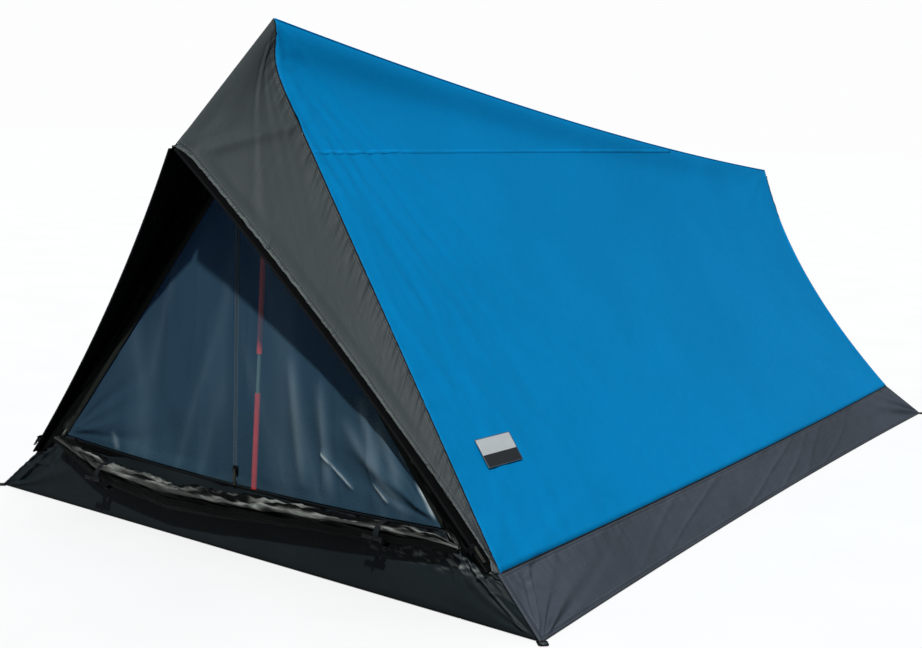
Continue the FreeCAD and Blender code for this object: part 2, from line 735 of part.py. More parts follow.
def make_ties():
    """A tie around the roll, with the post that its toggle hangs on."""
    for name, x in (("left", LEFT_TIE_X), ("right", RIGHT_TIE_X)):
        z, radius = roll_at(x)
        inner = radius + dim("tie_gap") + 2.2
        outer = inner + dim("tie_wall")
        width = dim("tie_width")
        start = Vector(x - width / 2, dim("roll_y"), z)
        axis = Vector(1, 0, 0)
        band = Part.makeCylinder(outer, width, start, axis)
        band = band.cut(Part.makeCylinder(inner, width, start, axis))
        front = Vector(x, dim("roll_y") - outer + 0.4, z)
        stand_off = dim("toggle_stand_off") + dim("toggle_radius") + 2
        post = Part.makeCylinder(dim("toggle_post"), stand_off, front, Vector(0, -1, 0))
        knot_place = front - Vector(0, stand_off + 1, 0)
        knot = Part.makeSphere(dim("toggle_post") * 1.6, knot_place)
        shaped(band.fuse([post, knot]).removeSplitter(), f"roll_tie_{name}")

        bar = cylinder(f"toggle_bar_{name}", Radius="toggle_radius", Height="toggle_length")
        bar.Placement = Placement(Vector(0, 0, 0), Rotation(Vector(0, 1, 0), 90))
        bind(bar, Placement__Base__x="-toggle_length / 2")
        bore = cylinder(f"toggle_hole_{name}", Radius="toggle_bore",
                        Height="2 * toggle_radius + 2")
        bore.Placement = Placement(Vector(0, 0, 0), Rotation(Vector(1, 0, 0), 90))
        bind(bore, Placement__Base__y="toggle_radius + 1")
        toggle = cut(f"toggle_{name}", bar, bore)
        toggle.Placement = Placement(front - Vector(0, dim("toggle_stand_off"), 0), Rotation())
        keep(toggle, f"toggle_{name}")


# ---------------------------------------------------------------- poles


def lean_at(obj, foot_y, lean):
    """Put a piece made along z on a leaning pole's axis."""
    obj.Placement = Placement(Vector(0, dim(foot_y), dim("floor_thickness")),
                              Rotation(Vector(1, 0, 0), -dim(lean)))
    bind(obj, Placement__Base__y=foot_y, Placement__Base__z="floor_thickness")
    return obj


def make_tube(name, bottom, top, foot_y, lean):
    outside = cylinder(f"{name}_outside", Radius="pole_radius", Height=f"({top}) - ({bottom})",
                       Placement__Base__z=bottom)
    inside = cylinder(f"{name}_inside", Radius="pole_bore", Height=f"({top}) - ({bottom}) + 2",
                      Placement__Base__z=f"({bottom}) - 1")
    keep(lean_at(cut(name, outside, inside), foot_y, lean), name)


def make_spigot(name, joint, foot_y, lean):
    """Held in the tube below, bare for a stretch, then loose in the tube above."""
    rod = cylinder(f"{name}_rod", Radius="spigot_radius",
                   Height="spigot_grip + spigot_show + spigot_reach - 2",
                   Placement__Base__z=f"{joint} - spigot_grip")
    nose = doc.addObject("Part::Cone", f"{name}_nose")
    bind(nose, Radius1="spigot_radius", Radius2="spigot_radius - 1", Height="2",
         Placement__Base__z=f"{joint} + spigot_show + spigot_reach - 2")
    keep(lean_at(fuse(name, rod, nose), foot_y, lean), name)


def make_tip(name, tube_top, tip_top, foot_y, lean):
    stem = cylinder(f"{name}_stem", Radius="pole_bore - 0.1", Height="tip_stem",
                    Placement__Base__z=f"{tube_top} - tip_stem")
    collar = cylinder(f"{name}_collar", Radius="pole_radius", Height="tip_collar",
                      Placement__Base__z=f"{tube_top} + 0.05")
    pin = cylinder(f"{name}_pin", Radius="tip_pin_radius",
                   Height=f"{tip_top} - ({tube_top}) + 1",
                   Placement__Base__z=f"{tube_top} - 1")
    keep(lean_at(fuse(name, stem, collar, pin), foot_y, lean), name)


def make_cup(name, tip_top, foot_y, lean):
    """Blind cup sewn under the ridge, over the pole's pin."""
    wall = "tip_pin_radius + cup_gap"
    outside = cylinder(f"{name}_outside", Radius=f"{wall} + cup_wall", Height="cup_height",
                       Placement__Base__z=f"{tip_top} + 3 - cup_height")
    inside = cylinder(f"{name}_inside", Radius=wall, Height="cup_height - 1",
                      Placement__Base__z=f"{tip_top} + 2 - cup_height")
    keep(lean_at(cut(name, outside, inside), foot_y, lean), name)


def make_foot(prefix, foot_y, lean):
    """Foot cap on the lower tube, and the ringed patch that it stands in."""
    cap = cylinder(f"{prefix}_foot_cap", Radius="foot_radius", Height="16",
                   Placement__Base__z="2")
    socket = cylinder(f"{prefix}_foot_socket", Radius="pole_radius + 0.05", Height="16",
                      Placement__Base__z="pole_start - 0.05")
    keep(lean_at(cut(f"{prefix}_pole_foot", cap, socket), foot_y, lean), f"{prefix}_pole_foot")

    patch = cylinder(f"{prefix}_patch", Radius="seat_patch_radius",
                     Height="seat_patch_thickness")
    ring = cylinder(f"{prefix}_ring", Radius="seat_ring_radius", Height="seat_ring_height")
    bore = cylinder(f"{prefix}_ring_bore", Radius="seat_ring_bore", Height="seat_ring_height",
                    Placement__Base__z="seat_patch_thickness")
    seat = cut(f"{prefix}_pole_seat", fuse(f"{prefix}_seat_solid", patch, ring), bore)
    bind(seat, Placement__Base__y=foot_y, Placement__Base__z="floor_thickness + 0.1")
    keep(seat, f"{prefix}_pole_seat")


def make_poles():
    front = ("front_pole_y", "front_pole_lean")
    make_tube("front_pole_lower", "pole_start", "front_lower_top", *front)
    make_spigot("front_spigot_lower", "front_lower_top", *front)
    make_tube("front_pole_middle", "front_lower_top + spigot_show", "front_middle_top", *front)
    make_spigot("front_spigot_upper", "front_middle_top", *front)
    make_tube("front_pole_upper", "front_middle_top + spigot_show", "front_upper_top", *front)
    make_tip("front_pole_tip", "front_upper_top", "front_tip_top", *front)
    make_cup("front_peak_cup", "front_tip_top", *front)
    make_foot("front", *front)

    rear = ("rear_pole_y", "rear_pole_lean")
    make_tube("rear_pole_lower", "pole_start", "rear_lower_top", *rear)
    make_spigot("rear_spigot", "rear_lower_top", *rear)
    make_tube("rear_pole_upper", "rear_lower_top + spigot_show", "rear_upper_top", *rear)
    make_tip("rear_pole_tip", "rear_upper_top", "rear_tip_top", *rear)
    make_cup("rear_peak_cup", "rear_tip_top", *rear)
    make_foot("rear", *rear)


# ---------------------------------------------------------------- corners, loops, label


def make_corners():
    """A webbing tab and a pressed eyelet at each corner, pointing outward."""
    eyelets = []
    for end, corner, y_side in (("front", FRONT_CORNER, -1), ("rear", REAR_CORNER, 1)):
        angle = 45 * y_side
        place = Placement(corner, Rotation(Vector(0, 0, 1), angle))
        back = "corner_cut * 0.3"
        strap = box(f"{end}_tab_strap", Length=f"tab_reach + {back}", Width="tab_width",
                    Height="tab_thickness", Placement__Base__x=f"-({back})",
                    Placement__Base__y="-tab_width / 2")
        bore = cylinder(f"{end}_tab_bore", Radius="eyelet_barrel + 0.1",
                        Height="tab_thickness + 2", Placement__Base__x="eyelet_place",
                        Placement__Base__z="-1")
        tab = cut(f"{end}_tab", strap, bore)
        tab.Placement = place
        keep(tab, f"peg_tab_{end}_right")
        mirrored(tab, f"peg_tab_{end}_left")

        barrel = Part.makeCylinder(dim("eyelet_barrel"), dim("eyelet_height"))
        rim = Part.makeCylinder(dim("eyelet_flange"), dim("eyelet_height") - 1.5,
                                Vector(0, 0, 1.5))
        eyelet = barrel.fuse(rim).cut(Part.makeCylinder(dim("eyelet_bore"), 5, Vector(0, 0, -1)))
        eyelet.translate(Vector(dim("eyelet_place"), 0, 0.1))
        right = eyelet.copy()
        right.Placement = place.multiply(right.Placement)
        eyelets += [right, right.mirror(Vector(0, 0, 0), Vector(1, 0, 0))]
    shaped(Part.makeCompound(eyelets), "corner_eyelets")


def make_guy_loops():
    """Webbing loops under the awning's apex and behind the rear peak, in the x = 0 plane."""
    for label, y_text, z_text in (
            ("front_guy_loop", "awning_peak_y + 34", "awning_peak_z - 4"),
            ("rear_guy_loop", "rear_peak_y + 14", "rear_peak_z - 16")):
        strap = box(f"{label}_strap", Length="loop_thickness", Width="loop_width",
                    Height="loop_drop", Placement__Base__x="-loop_thickness / 2",
                    Placement__Base__y="-loop_width", Placement__Base__z="-loop_drop")
        bore = cylinder(f"{label}_bore", Radius="loop_bore", Height="loop_thickness + 2")
        bore.Placement = Placement(Vector(0, 0, 0), Rotation(Vector(0, 1, 0), 90))
        bind(bore, Placement__Base__x="-loop_thickness / 2 - 1",
             Placement__Base__y="-loop_width / 2",
             Placement__Base__z="loop_width / 2 - loop_drop")
        loop = cut(label, strap, bore)
        bind(loop, Placement__Base__y=y_text, Placement__Base__z=z_text)
        keep(loop, label)


def make_label():
    """A plain sewn label low on the right side of the roof."""
    along, down = LABEL_PLACE
    step = 0.02
    point = roof_point(along, down)
    x_axis = (roof_point(along + step, down) - roof_point(along - step, down)).normalize()
    slope = roof_point(along, down - step) - roof_point(along, down + step)
    z_axis = x_axis.cross(slope).normalize()
    y_axis = z_axis.cross(x_axis)
    panel = plate("side_label", [[
        ("-label_length / 2", "-label_height / 2"),
        ("label_length / 2", "-label_height / 2"),
        ("label_length / 2", "label_height / 2"),
        ("-label_length / 2", "label_height / 2"),
    ]], "label_thickness")
    panel.Placement = axes_placement(point + z_axis * (dim("cloth") + 0.8),
                                     x_axis, y_axis, z_axis)
    keep(panel, "side_label")


# ---------------------------------------------------------------- build, check, write

make_floor()
make_roof()
make_awning()
make_side_walls()
make_rear()
make_door_wall()
make_mesh_zip()
make_sill_zip()
make_door_zip()
make_sliders()
make_roll()
make_ties()
make_poles()
make_corners()
make_guy_loops()
make_label()
doc.recompute()

for item in doc.Objects:
    if {"Invalid", "Error"} & set(item.State):
        raise RuntimeError(f"{item.Name} did not build: {item.State}")
for piece in parts:
    if piece.Shape.isNull() or not piece.Shape.isValid() or piece.Shape.Volume <= 0:
        raise RuntimeError(f"{piece.Label} has no valid solid")

os.makedirs("parts", exist_ok=True)
for piece in parts:
    piece.Shape.exportStep(os.path.join("parts", f"{piece.Label}.step"))
print(f"{len(parts)} sub-parts written")
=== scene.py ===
import math

import bmesh
import bpy
import numpy as np
from mathutils import Matrix, Vector


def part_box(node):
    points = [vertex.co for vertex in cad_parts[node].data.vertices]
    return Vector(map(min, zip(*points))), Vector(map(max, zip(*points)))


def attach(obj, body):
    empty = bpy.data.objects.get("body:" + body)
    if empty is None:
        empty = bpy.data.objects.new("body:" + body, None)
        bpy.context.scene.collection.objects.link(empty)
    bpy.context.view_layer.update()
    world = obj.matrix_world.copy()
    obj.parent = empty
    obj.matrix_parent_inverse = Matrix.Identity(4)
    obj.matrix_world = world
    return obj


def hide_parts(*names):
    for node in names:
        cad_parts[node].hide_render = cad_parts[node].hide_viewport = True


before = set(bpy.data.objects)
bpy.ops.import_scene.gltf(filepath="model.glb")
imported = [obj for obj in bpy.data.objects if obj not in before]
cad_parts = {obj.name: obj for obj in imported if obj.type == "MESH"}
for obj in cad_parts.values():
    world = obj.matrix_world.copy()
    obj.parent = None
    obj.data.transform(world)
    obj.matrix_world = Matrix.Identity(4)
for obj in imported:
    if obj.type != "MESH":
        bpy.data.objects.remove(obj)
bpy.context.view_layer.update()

# ---------------------------------------------------------------- outline of the cloth, in metres

FRONT_PEAK = np.array([0, -0.922, 0.857])
REAR_PEAK = np.array([0, 0.952, 0.600])
AWNING_PEAK = np.array([0, -1.125, 0.657])
SEAM_FRONT = np.array([0.519, -0.985, 0.076])
SEAM_REAR = np.array([0.377, 0.941, 0.070])
FRONT_CORNER = np.array([0.604, -1.000, 0.0])
REAR_CORNER = np.array([0.450, 1.000, 0.0])
RIDGE_SAG = 0.023
FRONT_HOLLOW = 0.048
PEAK_FIN = 0.07
REAR_HOLLOW = 0.051
AWNING_HOLLOW = 0.022
SIDE_SEAM_BOW = 0.012
GROUND_BOW = 0.015
PANEL_JOIN_Z = 0.650
DOOR_Y = -0.995
DOOR_APEX_Z = 0.634
DOOR_BASE_Z = 0.125
DOOR_BASE_X = 0.424
SILL_TOP_Z = 0.118
GABLE_Y = 0.9395
VENT_BASE_Z = 0.380
VENT_APEX_Z = 0.490
VENT_HALF_WIDTH = 0.058
FLOOR_TOP = 0.0012
ROLL_Y = -1.021
# the rolled door from left to right: x, height of its middle, radius
ROLL_STATIONS = [
    (-0.412, 0.119, 0.008), (-0.385, 0.111, 0.011), (-0.340, 0.096, 0.015),
    (-0.295, 0.083, 0.019), (-0.120, 0.071, 0.022), (0, 0.078, 0.021),
    (0.170, 0.093, 0.018), (0.335, 0.104, 0.016), (0.440, 0.110, 0.009), (0.468, 0.108, 0.006),
]
TIE_PLACES = (-0.285, 0.335)
CLOTH = 0.0007
NET = 0.0004
LABEL_PLACE = (0.068, 0.82)
LABEL_SIZE = (0.098, 0.048)
LABEL_BAND = 0.021
SILL_SAG = 0.012


def col(values):
    """Numbers with one more axis, so that they multiply points."""
    return np.asarray(values, float)[..., None]


def between(start, end, share):
    return start + (end - start) * col(share)


def bow(share):
    return 4 * share * (1 - share)


def xyz(x, y, z):
    """Places from their coordinates, each of which may be one number or a grid of them."""
    return np.stack(np.broadcast_arrays(x, y, z), -1)


def along_x(values):
    return xyz(values, 0, 0)


def along_z(values):
    return xyz(0, 0, values)


def grid(rows, columns):
    """Two grids of shares; rows and columns each give a start, an end and a count."""
    return np.meshgrid(np.linspace(*rows), np.linspace(*columns), indexing="ij")


def ridge(along):
    return between(FRONT_PEAK, REAR_PEAK, along) - along_z(RIDGE_SAG * bow(along))


def front_edge(down):
    hollow = FRONT_HOLLOW * (1 - down) * (1 - np.exp(-(down / PEAK_FIN) ** 2))
    return between(FRONT_PEAK, SEAM_FRONT, down) - along_x(hollow)


def rear_edge(down):
    return between(REAR_PEAK, SEAM_REAR, down) - along_x(REAR_HOLLOW * bow(down))


def side_seam(along):
    return between(SEAM_FRONT, SEAM_REAR, along) + along_x(SIDE_SEAM_BOW * bow(along))


def ground_edge(along):
    return between(FRONT_CORNER, REAR_CORNER, along) - along_x(GROUND_BOW * bow(along))


def roof_point(along, down):
    """A sheet stretched between the ridge, both end edges and the side seam."""
    lengthwise = ridge(along) + (side_seam(along) - ridge(along)) * col(down)
    crosswise = front_edge(down) + (rear_edge(down) - front_edge(down)) * col(along)
    top = between(FRONT_PEAK, REAR_PEAK, along)
    bottom = between(SEAM_FRONT, SEAM_REAR, along)
    return lengthwise + crosswise - (top + (bottom - top) * col(down))


class AwningArc:
    """The right front edge of the awning: one circular arc from its peak to the seam corner."""

    def __init__(self):
        start = AWNING_PEAK
        end = SEAM_FRONT + np.array([-0.006, -0.009, 0])
        length = np.linalg.norm(end - start)
        self.down = (end - start) / length
        back = np.array([0, 1.0, 0])
        back = back - self.down * back.dot(self.down)
        self.back = back / np.linalg.norm(back)
        self.out = np.cross(self.down, self.back)
        self.radius = (length * length / 4 + AWNING_HOLLOW ** 2) / (2 * AWNING_HOLLOW)
        self.centre = (start + end) / 2 - self.back * (self.radius - AWNING_HOLLOW)
        self.half_angle = math.asin(length / 2 / self.radius)

    def point(self, share, ahead=0.0, above=0.0):
        """A place on the arc, or ahead of it toward the doorway, or above the cloth."""
        angle = self.half_angle * (2 * np.asarray(share, float) - 1)
        across = self.back * col(np.cos(angle)) + self.down * col(np.sin(angle))
        return self.centre + across * col(self.radius - ahead) + self.out * col(above)

    def inward(self, share):
        """The direction from the cloth's edge toward the doorway."""
        angle = self.half_angle * (2 * np.asarray(share, float) - 1)
        return -(self.back * col(np.cos(angle)) + self.down * col(np.sin(angle)))


arc = AwningArc()


def hem_edge(down):
    """How far the awning's folded edge lies ahead of its arc; it is sewn a little behind it."""
    held = smooth(0, 0.03, down) * smooth(1.0, 0.97, down)
    return -(0.006 + 0.004 * smooth(0.66, 0.86, down)) * held


def awning_point(forward, down):
    front = arc.point(down, hem_edge(down) - 0.003 * smooth(0, 0.03, down))
    return front_edge(down) + (front - front_edge(down)) * col(forward)


def sill_sag(x):
    """How far the sill and the mesh above it hang down under the rolled door."""
    return SILL_SAG * np.clip(1 - (np.asarray(x, float) / DOOR_BASE_X) ** 2, 0, 1)


def mirror_x(points):
    return points * np.array([-1.0, 1, 1])


def as_is(points):
    return points


SIDES = (("right", 1, as_is), ("left", -1, mirror_x))


# ---------------------------------------------------------------- noise for wrinkles

_tables = {}


def noise(x, y, seed=0):
    """Smooth gradient noise from about -1 to 1, the same on every run."""
    if seed not in _tables:
        angle = np.random.default_rng(seed).random((128, 128)) * 2 * math.pi
        _tables[seed] = np.stack([np.cos(angle), np.sin(angle)], -1)
    table = _tables[seed]
    x, y = np.broadcast_arrays(np.asarray(x, float), np.asarray(y, float))
    xi, yi = np.floor(x).astype(int), np.floor(y).astype(int)
    xf, yf = x - xi, y - yi

    def corner(dx, dy):
        g = table[(xi + dx) % 128, (yi + dy) % 128]
        return g[..., 0] * (xf - dx) + g[..., 1] * (yf - dy)

    def fade(t):
        return t * t * t * (t * (t * 6 - 15) + 10)

    u, v = fade(xf), fade(yf)
    low = corner(0, 0) * (1 - u) + corner(1, 0) * u
    high = corner(0, 1) * (1 - u) + corner(1, 1) * u
    return (low * (1 - v) + high * v) * 1.5


def fbm(x, y, seed=0, octaves=3):
    total, size = 0.0, 1.0
    for octave in range(octaves):
        total = total + size * noise(x * 2 ** octave, y * 2 ** octave, seed + octave)
        size *= 0.5
    return total


def crease(x, y, seed=0):
    """Narrow raised lines with wide soft valleys, from 0 to about 1."""
    return np.clip(1 - 3.2 * np.abs(noise(x, y, seed)), 0, 1) ** 2


def smooth(low, high, value):
    t = np.clip((value - low) / (high - low), 0, 1)
    return t * t * (3 - 2 * t)


def pucker(along, away, pitch, depth, reach, seed):
    """Short wrinkles that start at a seam and die out across the cloth."""
    waves = noise(along / pitch, away / (pitch * 5), seed)
    waves = waves + 0.5 * noise(along / pitch * 2.3, away / (pitch * 4), seed + 1)
    return depth * waves * np.exp(-away / reach)


def pleats(flat, centre, toward, spread, count, depth, reach, seed, width=0.03):
    """Tension creases that fan out from a corner of the cloth."""
    rng = np.random.default_rng(seed)
    delta = flat - np.asarray(centre, float)
    away = np.hypot(delta[..., 0], delta[..., 1]) + 1e-6
    angle = np.arctan2(delta[..., 1], delta[..., 0])
    total = np.zeros(away.shape)
    for index in range(count):
        base = toward + spread * (2 * (index + rng.random()) / count - 1)
        size = depth * rng.uniform(0.35, 1.0) * rng.choice([1, -0.8])
        length = reach * rng.uniform(0.5, 1.2)
        turn = (angle - base - 0.12 * noise(away / 0.3, np.full_like(away, index), seed))
        side = away * np.sin(np.clip(turn, -1.5, 1.5))
        near = 0.0015 + width * np.clip(away / reach, 0, 2)
        rise = smooth(0, 0.05, away) * np.exp(-(away / length) ** 2)
        total += size * rise * np.exp(-(side / near) ** 2) * (np.cos(turn) > 0)
    return total


def fans(flat, seed, rows):
    """Several fans of pleats.

    Each row gives where a fan starts on the flat cloth, its direction and half its spread in
    radians, how many pleats it has, their depth and reach, an offset to the seed, and their width.
    """
    total = 0.0
    for centre, toward, spread, count, depth, reach, extra, width in rows:
        total = total + pleats(flat, centre, toward, spread, count, depth, reach, seed + extra,
                               width)
    return total


def inset(share, first, last):
    """One in the middle of a cloth, falling to nothing at both of its edges."""
    return smooth(0, first, share) * smooth(0, last, 1 - share)


# ---------------------------------------------------------------- meshes


def grid_normals(points):
    du = np.gradient(points, axis=0)
    dv = np.gradient(points, axis=1)
    normals = np.cross(du, dv)
    return normals / (np.linalg.norm(normals, axis=-1, keepdims=True) + 1e-12)


def right_normals(points):
    """Normals of a sheet on the right side, turned away from the tent's middle."""
    normals = grid_normals(points)
    return -normals if normals[..., 0].mean() < 0 else normals


def over_the_ridge(surface, along, half):
    """A grid that runs from the left edge over the ridge to the right one.

    It gives the two shares, the places with both halves on the right side, and their normals.
    """
    sides = np.concatenate([-half[:0:-1], half])
    a, s = np.meshgrid(along, sides, indexing="ij")
    normals = right_normals(surface(*np.meshgrid(along, half, indexing="ij")))
    return a, s, surface(a, np.abs(s)), np.concatenate([normals[:, :0:-1], normals], axis=1)


def by_side(s, seeds, wave):
    """Wrinkles that differ between the right and the left side of such a grid."""
    return sum(np.where(s * side >= 0, wave(seed), 0) for side, seed in zip((1, -1), seeds))


def unfolded(points, s):
    """The same grid with its left half on the left side."""
    points[..., 0] *= np.sign(s)
    return points


def lengths(points, axis):
    """Distance along the cloth from its first row or column, in metres."""
    steps = np.linalg.norm(np.diff(points, axis=axis), axis=-1)
    pad = [(0, 0), (0, 0)]
    pad[axis] = (1, 0)
    return np.pad(np.cumsum(steps, axis=axis), pad)


def new_object(name, vertices, faces, materials, uv=None, values=None, smooth_faces=True):
    mesh = bpy.data.meshes.new(name)
    mesh.from_pydata([tuple(v) for v in vertices], [], faces)
    if uv is not None:
        layer = mesh.uv_layers.new(name="cloth")
        loops = np.zeros(len(mesh.loops), int)
        mesh.loops.foreach_get("vertex_index", loops)
        layer.data.foreach_set("uv", np.asarray(uv, np.float32)[loops].ravel())
    for key, data in (values or {}).items():
        attribute = mesh.attributes.new(key, "FLOAT", "POINT")
        attribute.data.foreach_set("value", np.asarray(data, np.float32).ravel())
    mesh.polygons.foreach_set("use_smooth", [smooth_faces] * len(mesh.polygons))
    mesh.validate()
    obj = bpy.data.objects.new(name, mesh)
    bpy.context.scene.collection.objects.link(obj)
    for material in materials:
        mesh.materials.append(material)
    return obj


def grid_faces(rows, columns, closed=False, flip=False):
    faces = []
    last = columns if closed else columns - 1
    for r in range(rows - 1):
        for c in range(last):
            n = (c + 1) % columns
            quad = (r * columns + c, r * columns + n, (r + 1) * columns + n, (r + 1) * columns + c)
            faces.append(quad[::-1] if flip else quad)
    return faces


def cloth_sheet(name, points, outward, outside, inside=None, thickness=CLOTH, uv=None,
                values=None, body="shell", keep_faces=None):
    """A grid of points as a closed sheet of cloth; outward is a rough direction of its face."""
    rows, columns = points.shape[:2]
    flip = float((grid_normals(points) * outward).sum(-1).mean()) < 0
    faces = grid_faces(rows, columns, flip=not flip)
    if keep_faces is not None:
        faces = [face for face, keep in zip(faces, keep_faces.ravel()) if keep]
    if uv is None:
        uv = np.stack([lengths(points, 0), lengths(points, 1)], -1)
    marks = {"edge": edge_distance(points), **(values or {})}
    obj = new_object(name, points.reshape(-1, 3), faces, [outside, inside or outside],
                     uv.reshape(-1, 2), marks)
    normal = Vector((0, 0, 0))
    for polygon in list(obj.data.polygons)[:: max(1, len(faces) // 50)]:
        normal += polygon.normal
    if normal.dot(Vector(outward)) < 0:
        obj.data.flip_normals()
    solid = obj.modifiers.new("thickness", "SOLIDIFY")
    solid.thickness = thickness
    solid.offset = -1
    solid.use_even_offset = False
    solid.material_offset = 1
    solid.material_offset_rim = 0
    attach(obj, body)
    return obj


def edge_distance(points):
    """Distance of each grid point from the cloth's nearest edge."""
    u, v = lengths(points, 0), lengths(points, 1)
    return np.minimum(np.minimum(u, u[-1:] - u), np.minimum(v, v[:, -1:] - v))


def ribbon(name, centre, across, normal, width, thickness, material, body="shell", back=None):
    """A narrow band of webbing or tape, with rounded edges and closed ends."""
    centre = np.asarray(centre, float)
    across = unit(across)
    normal = unit(normal)
    side = width / 2
    high = thickness / 2
    bend = min(0.35 * thickness, side * 0.9)
    outline = [(-side, 0), (-side + bend, high), (0, high * 1.04), (side - bend, high), (side, 0),
               (side - bend, -high), (0, -high * 1.04), (-side + bend, -high)]
    count = len(outline)
    rings = np.stack([centre + across * a + normal * b for a, b in outline], 1)
    faces = grid_faces(len(centre), count, closed=True)
    last = (len(centre) - 1) * count
    faces.append(tuple(range(count))[::-1])
    faces.append(tuple(range(last, last + count)))
    steps = travelled(centre)
    uv = np.stack([np.stack([steps, np.full(len(steps), a)], -1) for a, _b in outline], 1)
    obj = new_object(name, rings.reshape(-1, 3), faces, [material, back or material],
                     uv.reshape(-1, 2))
    for index in range(last):
        obj.data.polygons[index].material_index = int(index % count >= count // 2)
    fix_normals(obj)
    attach(obj, body)
    return obj


def travelled(line):
    """Distance along a line from its start, in metres."""
    return np.concatenate([[0], np.cumsum(np.linalg.norm(np.diff(line, axis=0), axis=1))])


def unit(vectors):
    vectors = np.asarray(vectors, float)
    return vectors / (np.linalg.norm(vectors, axis=-1, keepdims=True) + 1e-12)


def fix_normals(obj):
    bm = bmesh.new()
    bm.from_mesh(obj.data)
    bmesh.ops.recalc_face_normals(bm, faces=bm.faces)
    bm.to_mesh(obj.data)
    bm.free()


def blocks(name, centres, x_axes, y_axes, z_axes, sizes, material, body):
    """Many small blocks as one piece, such as the teeth of a zip."""
    corners = np.array([(x, y, z) for z in (-1, 1) for y in (-1, 1) for x in (-1, 1)], float) / 2
    quads = [(0, 2, 3, 1), (4, 5, 7, 6), (0, 1, 5, 4), (2, 6, 7, 3), (0, 4, 6, 2), (1, 3, 7, 5)]
    vertices, faces = [], []
    for index in range(len(centres)):
        start = len(vertices)
        for cx, cy, cz in corners * np.asarray(sizes):
            vertices.append(centres[index] + x_axes[index] * cx + y_axes[index] * cy
                            + z_axes[index] * cz)
        faces += [tuple(start + i for i in quad) for quad in quads]
    obj = new_object(name, vertices, faces, [material], smooth_faces=False)
    fix_normals(obj)
    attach(obj, body)
    return obj


def dress(obj, slot, *nodes):
    """Hides the CAD nodes that the piece stands for; slot, for the piece's finish, is not used."""
    if nodes:
        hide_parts(*nodes)


# ---------------------------------------------------------------- materials

BLACK = [0, 0, 0, 1]


def linear(code):
    values = [int(code[i:i + 2], 16) / 255 for i in (1, 3, 5)]
    return [v / 12.92 if v <= 0.04045 else ((v + 0.055) / 1.055) ** 2.4 for v in values] + [1]


def tint(colour, factor):
    return [min(1, value * factor) for value in colour[:3]] + [1]


class Nodes:
    """A short way to write a material's node tree."""

    def __init__(self, name):
        self.material = bpy.data.materials.new(name)
        self.material.use_nodes = True
        self.tree = self.material.node_tree
        self.tree.nodes.clear()

    def add(self, kind, inputs=None, **settings):
        node = self.tree.nodes.new(kind)
        for key, value in settings.items():
            setattr(node, key, value)
        for key, value in (inputs or {}).items():
            self.put(node, key, value)
        return node

    def put(self, node, key, value):
        socket = node.inputs[key]
        if isinstance(value, bpy.types.NodeSocket):
            self.tree.links.new(value, socket)
        else:
            socket.default_value = value

    def math(self, operation, a, b=0.0, c=0.0, clamp=False):
        node = self.add("ShaderNodeMath", {0: a, 1: b, 2: c}, operation=operation)
        node.use_clamp = clamp
        return node.outputs[0]

    def mix(self, factor, a, b):
        node = self.add("ShaderNodeMix", data_type="RGBA")
        self.put(node, 0, factor)
        self.put(node, 6, a)
        self.put(node, 7, b)
        return node.outputs[2]

    def darken(self, colour, amount, most):
        return self.mix(self.math("MULTIPLY", amount, most), colour, BLACK)

    def ramp(self, value, low, high):
        node = self.add("ShaderNodeMapRange", {0: value, 1: low, 2: high, 3: 0.0, 4: 1.0},
                        interpolation_type="SMOOTHSTEP")
        return node.outputs[0]

    def noise(self, vector, scale, detail=2.0, rough=0.5, distortion=0.0):
        node = self.add("ShaderNodeTexNoise", {"Vector": vector, "Scale": scale,
                                               "Detail": detail, "Roughness": rough,
                                               "Distortion": distortion})
        return node.outputs["Fac"]

    def scaled(self, vector, scale):
        return self.add("ShaderNodeMapping", {"Vector": vector, "Scale": scale}).outputs[0]

    def uv(self):
        return self.add("ShaderNodeUVMap", uv_map="cloth").outputs[0]

    def place(self):
        return self.add("ShaderNodeTexCoord").outputs["Object"]

    def mark(self, name):
        """A value that the mesh carries at each of its points."""
        return self.add("ShaderNodeAttribute", attribute_name=name).outputs["Fac"]

    def off_middle(self, value):
        return self.math("ABSOLUTE", self.math("SUBTRACT", value, 0.5))

    def bump(self, height, strength, distance, **more):
        return self.add("ShaderNodeBump", {"Height": height, "Strength": strength,
                                           "Distance": distance, **more}).outputs[0]

    def surface(self, colour, roughness, normal, specular=0.5, metallic=0.0):
        return self.add("ShaderNodeBsdfPrincipled", {
            "Base Color": colour, "Roughness": roughness, "Normal": normal,
            "Specular IOR Level": specular, "Metallic": metallic}).outputs[0]

    def out(self, shader):
        self.add("ShaderNodeOutputMaterial", {"Surface": shader})
        return self.material


def weave_height(n, uv, pitch):
    """Over-and-under threads of a plain weave."""
    split = n.add("ShaderNodeSeparateXYZ", {0: uv})
    waves = []
    for axis in (0, 1):
        turns = n.math("MULTIPLY", split.outputs[axis], 2 * math.pi / pitch)
        waves.append(n.math("SINE", turns))
    return n.math("MULTIPLY", waves[0], waves[1])


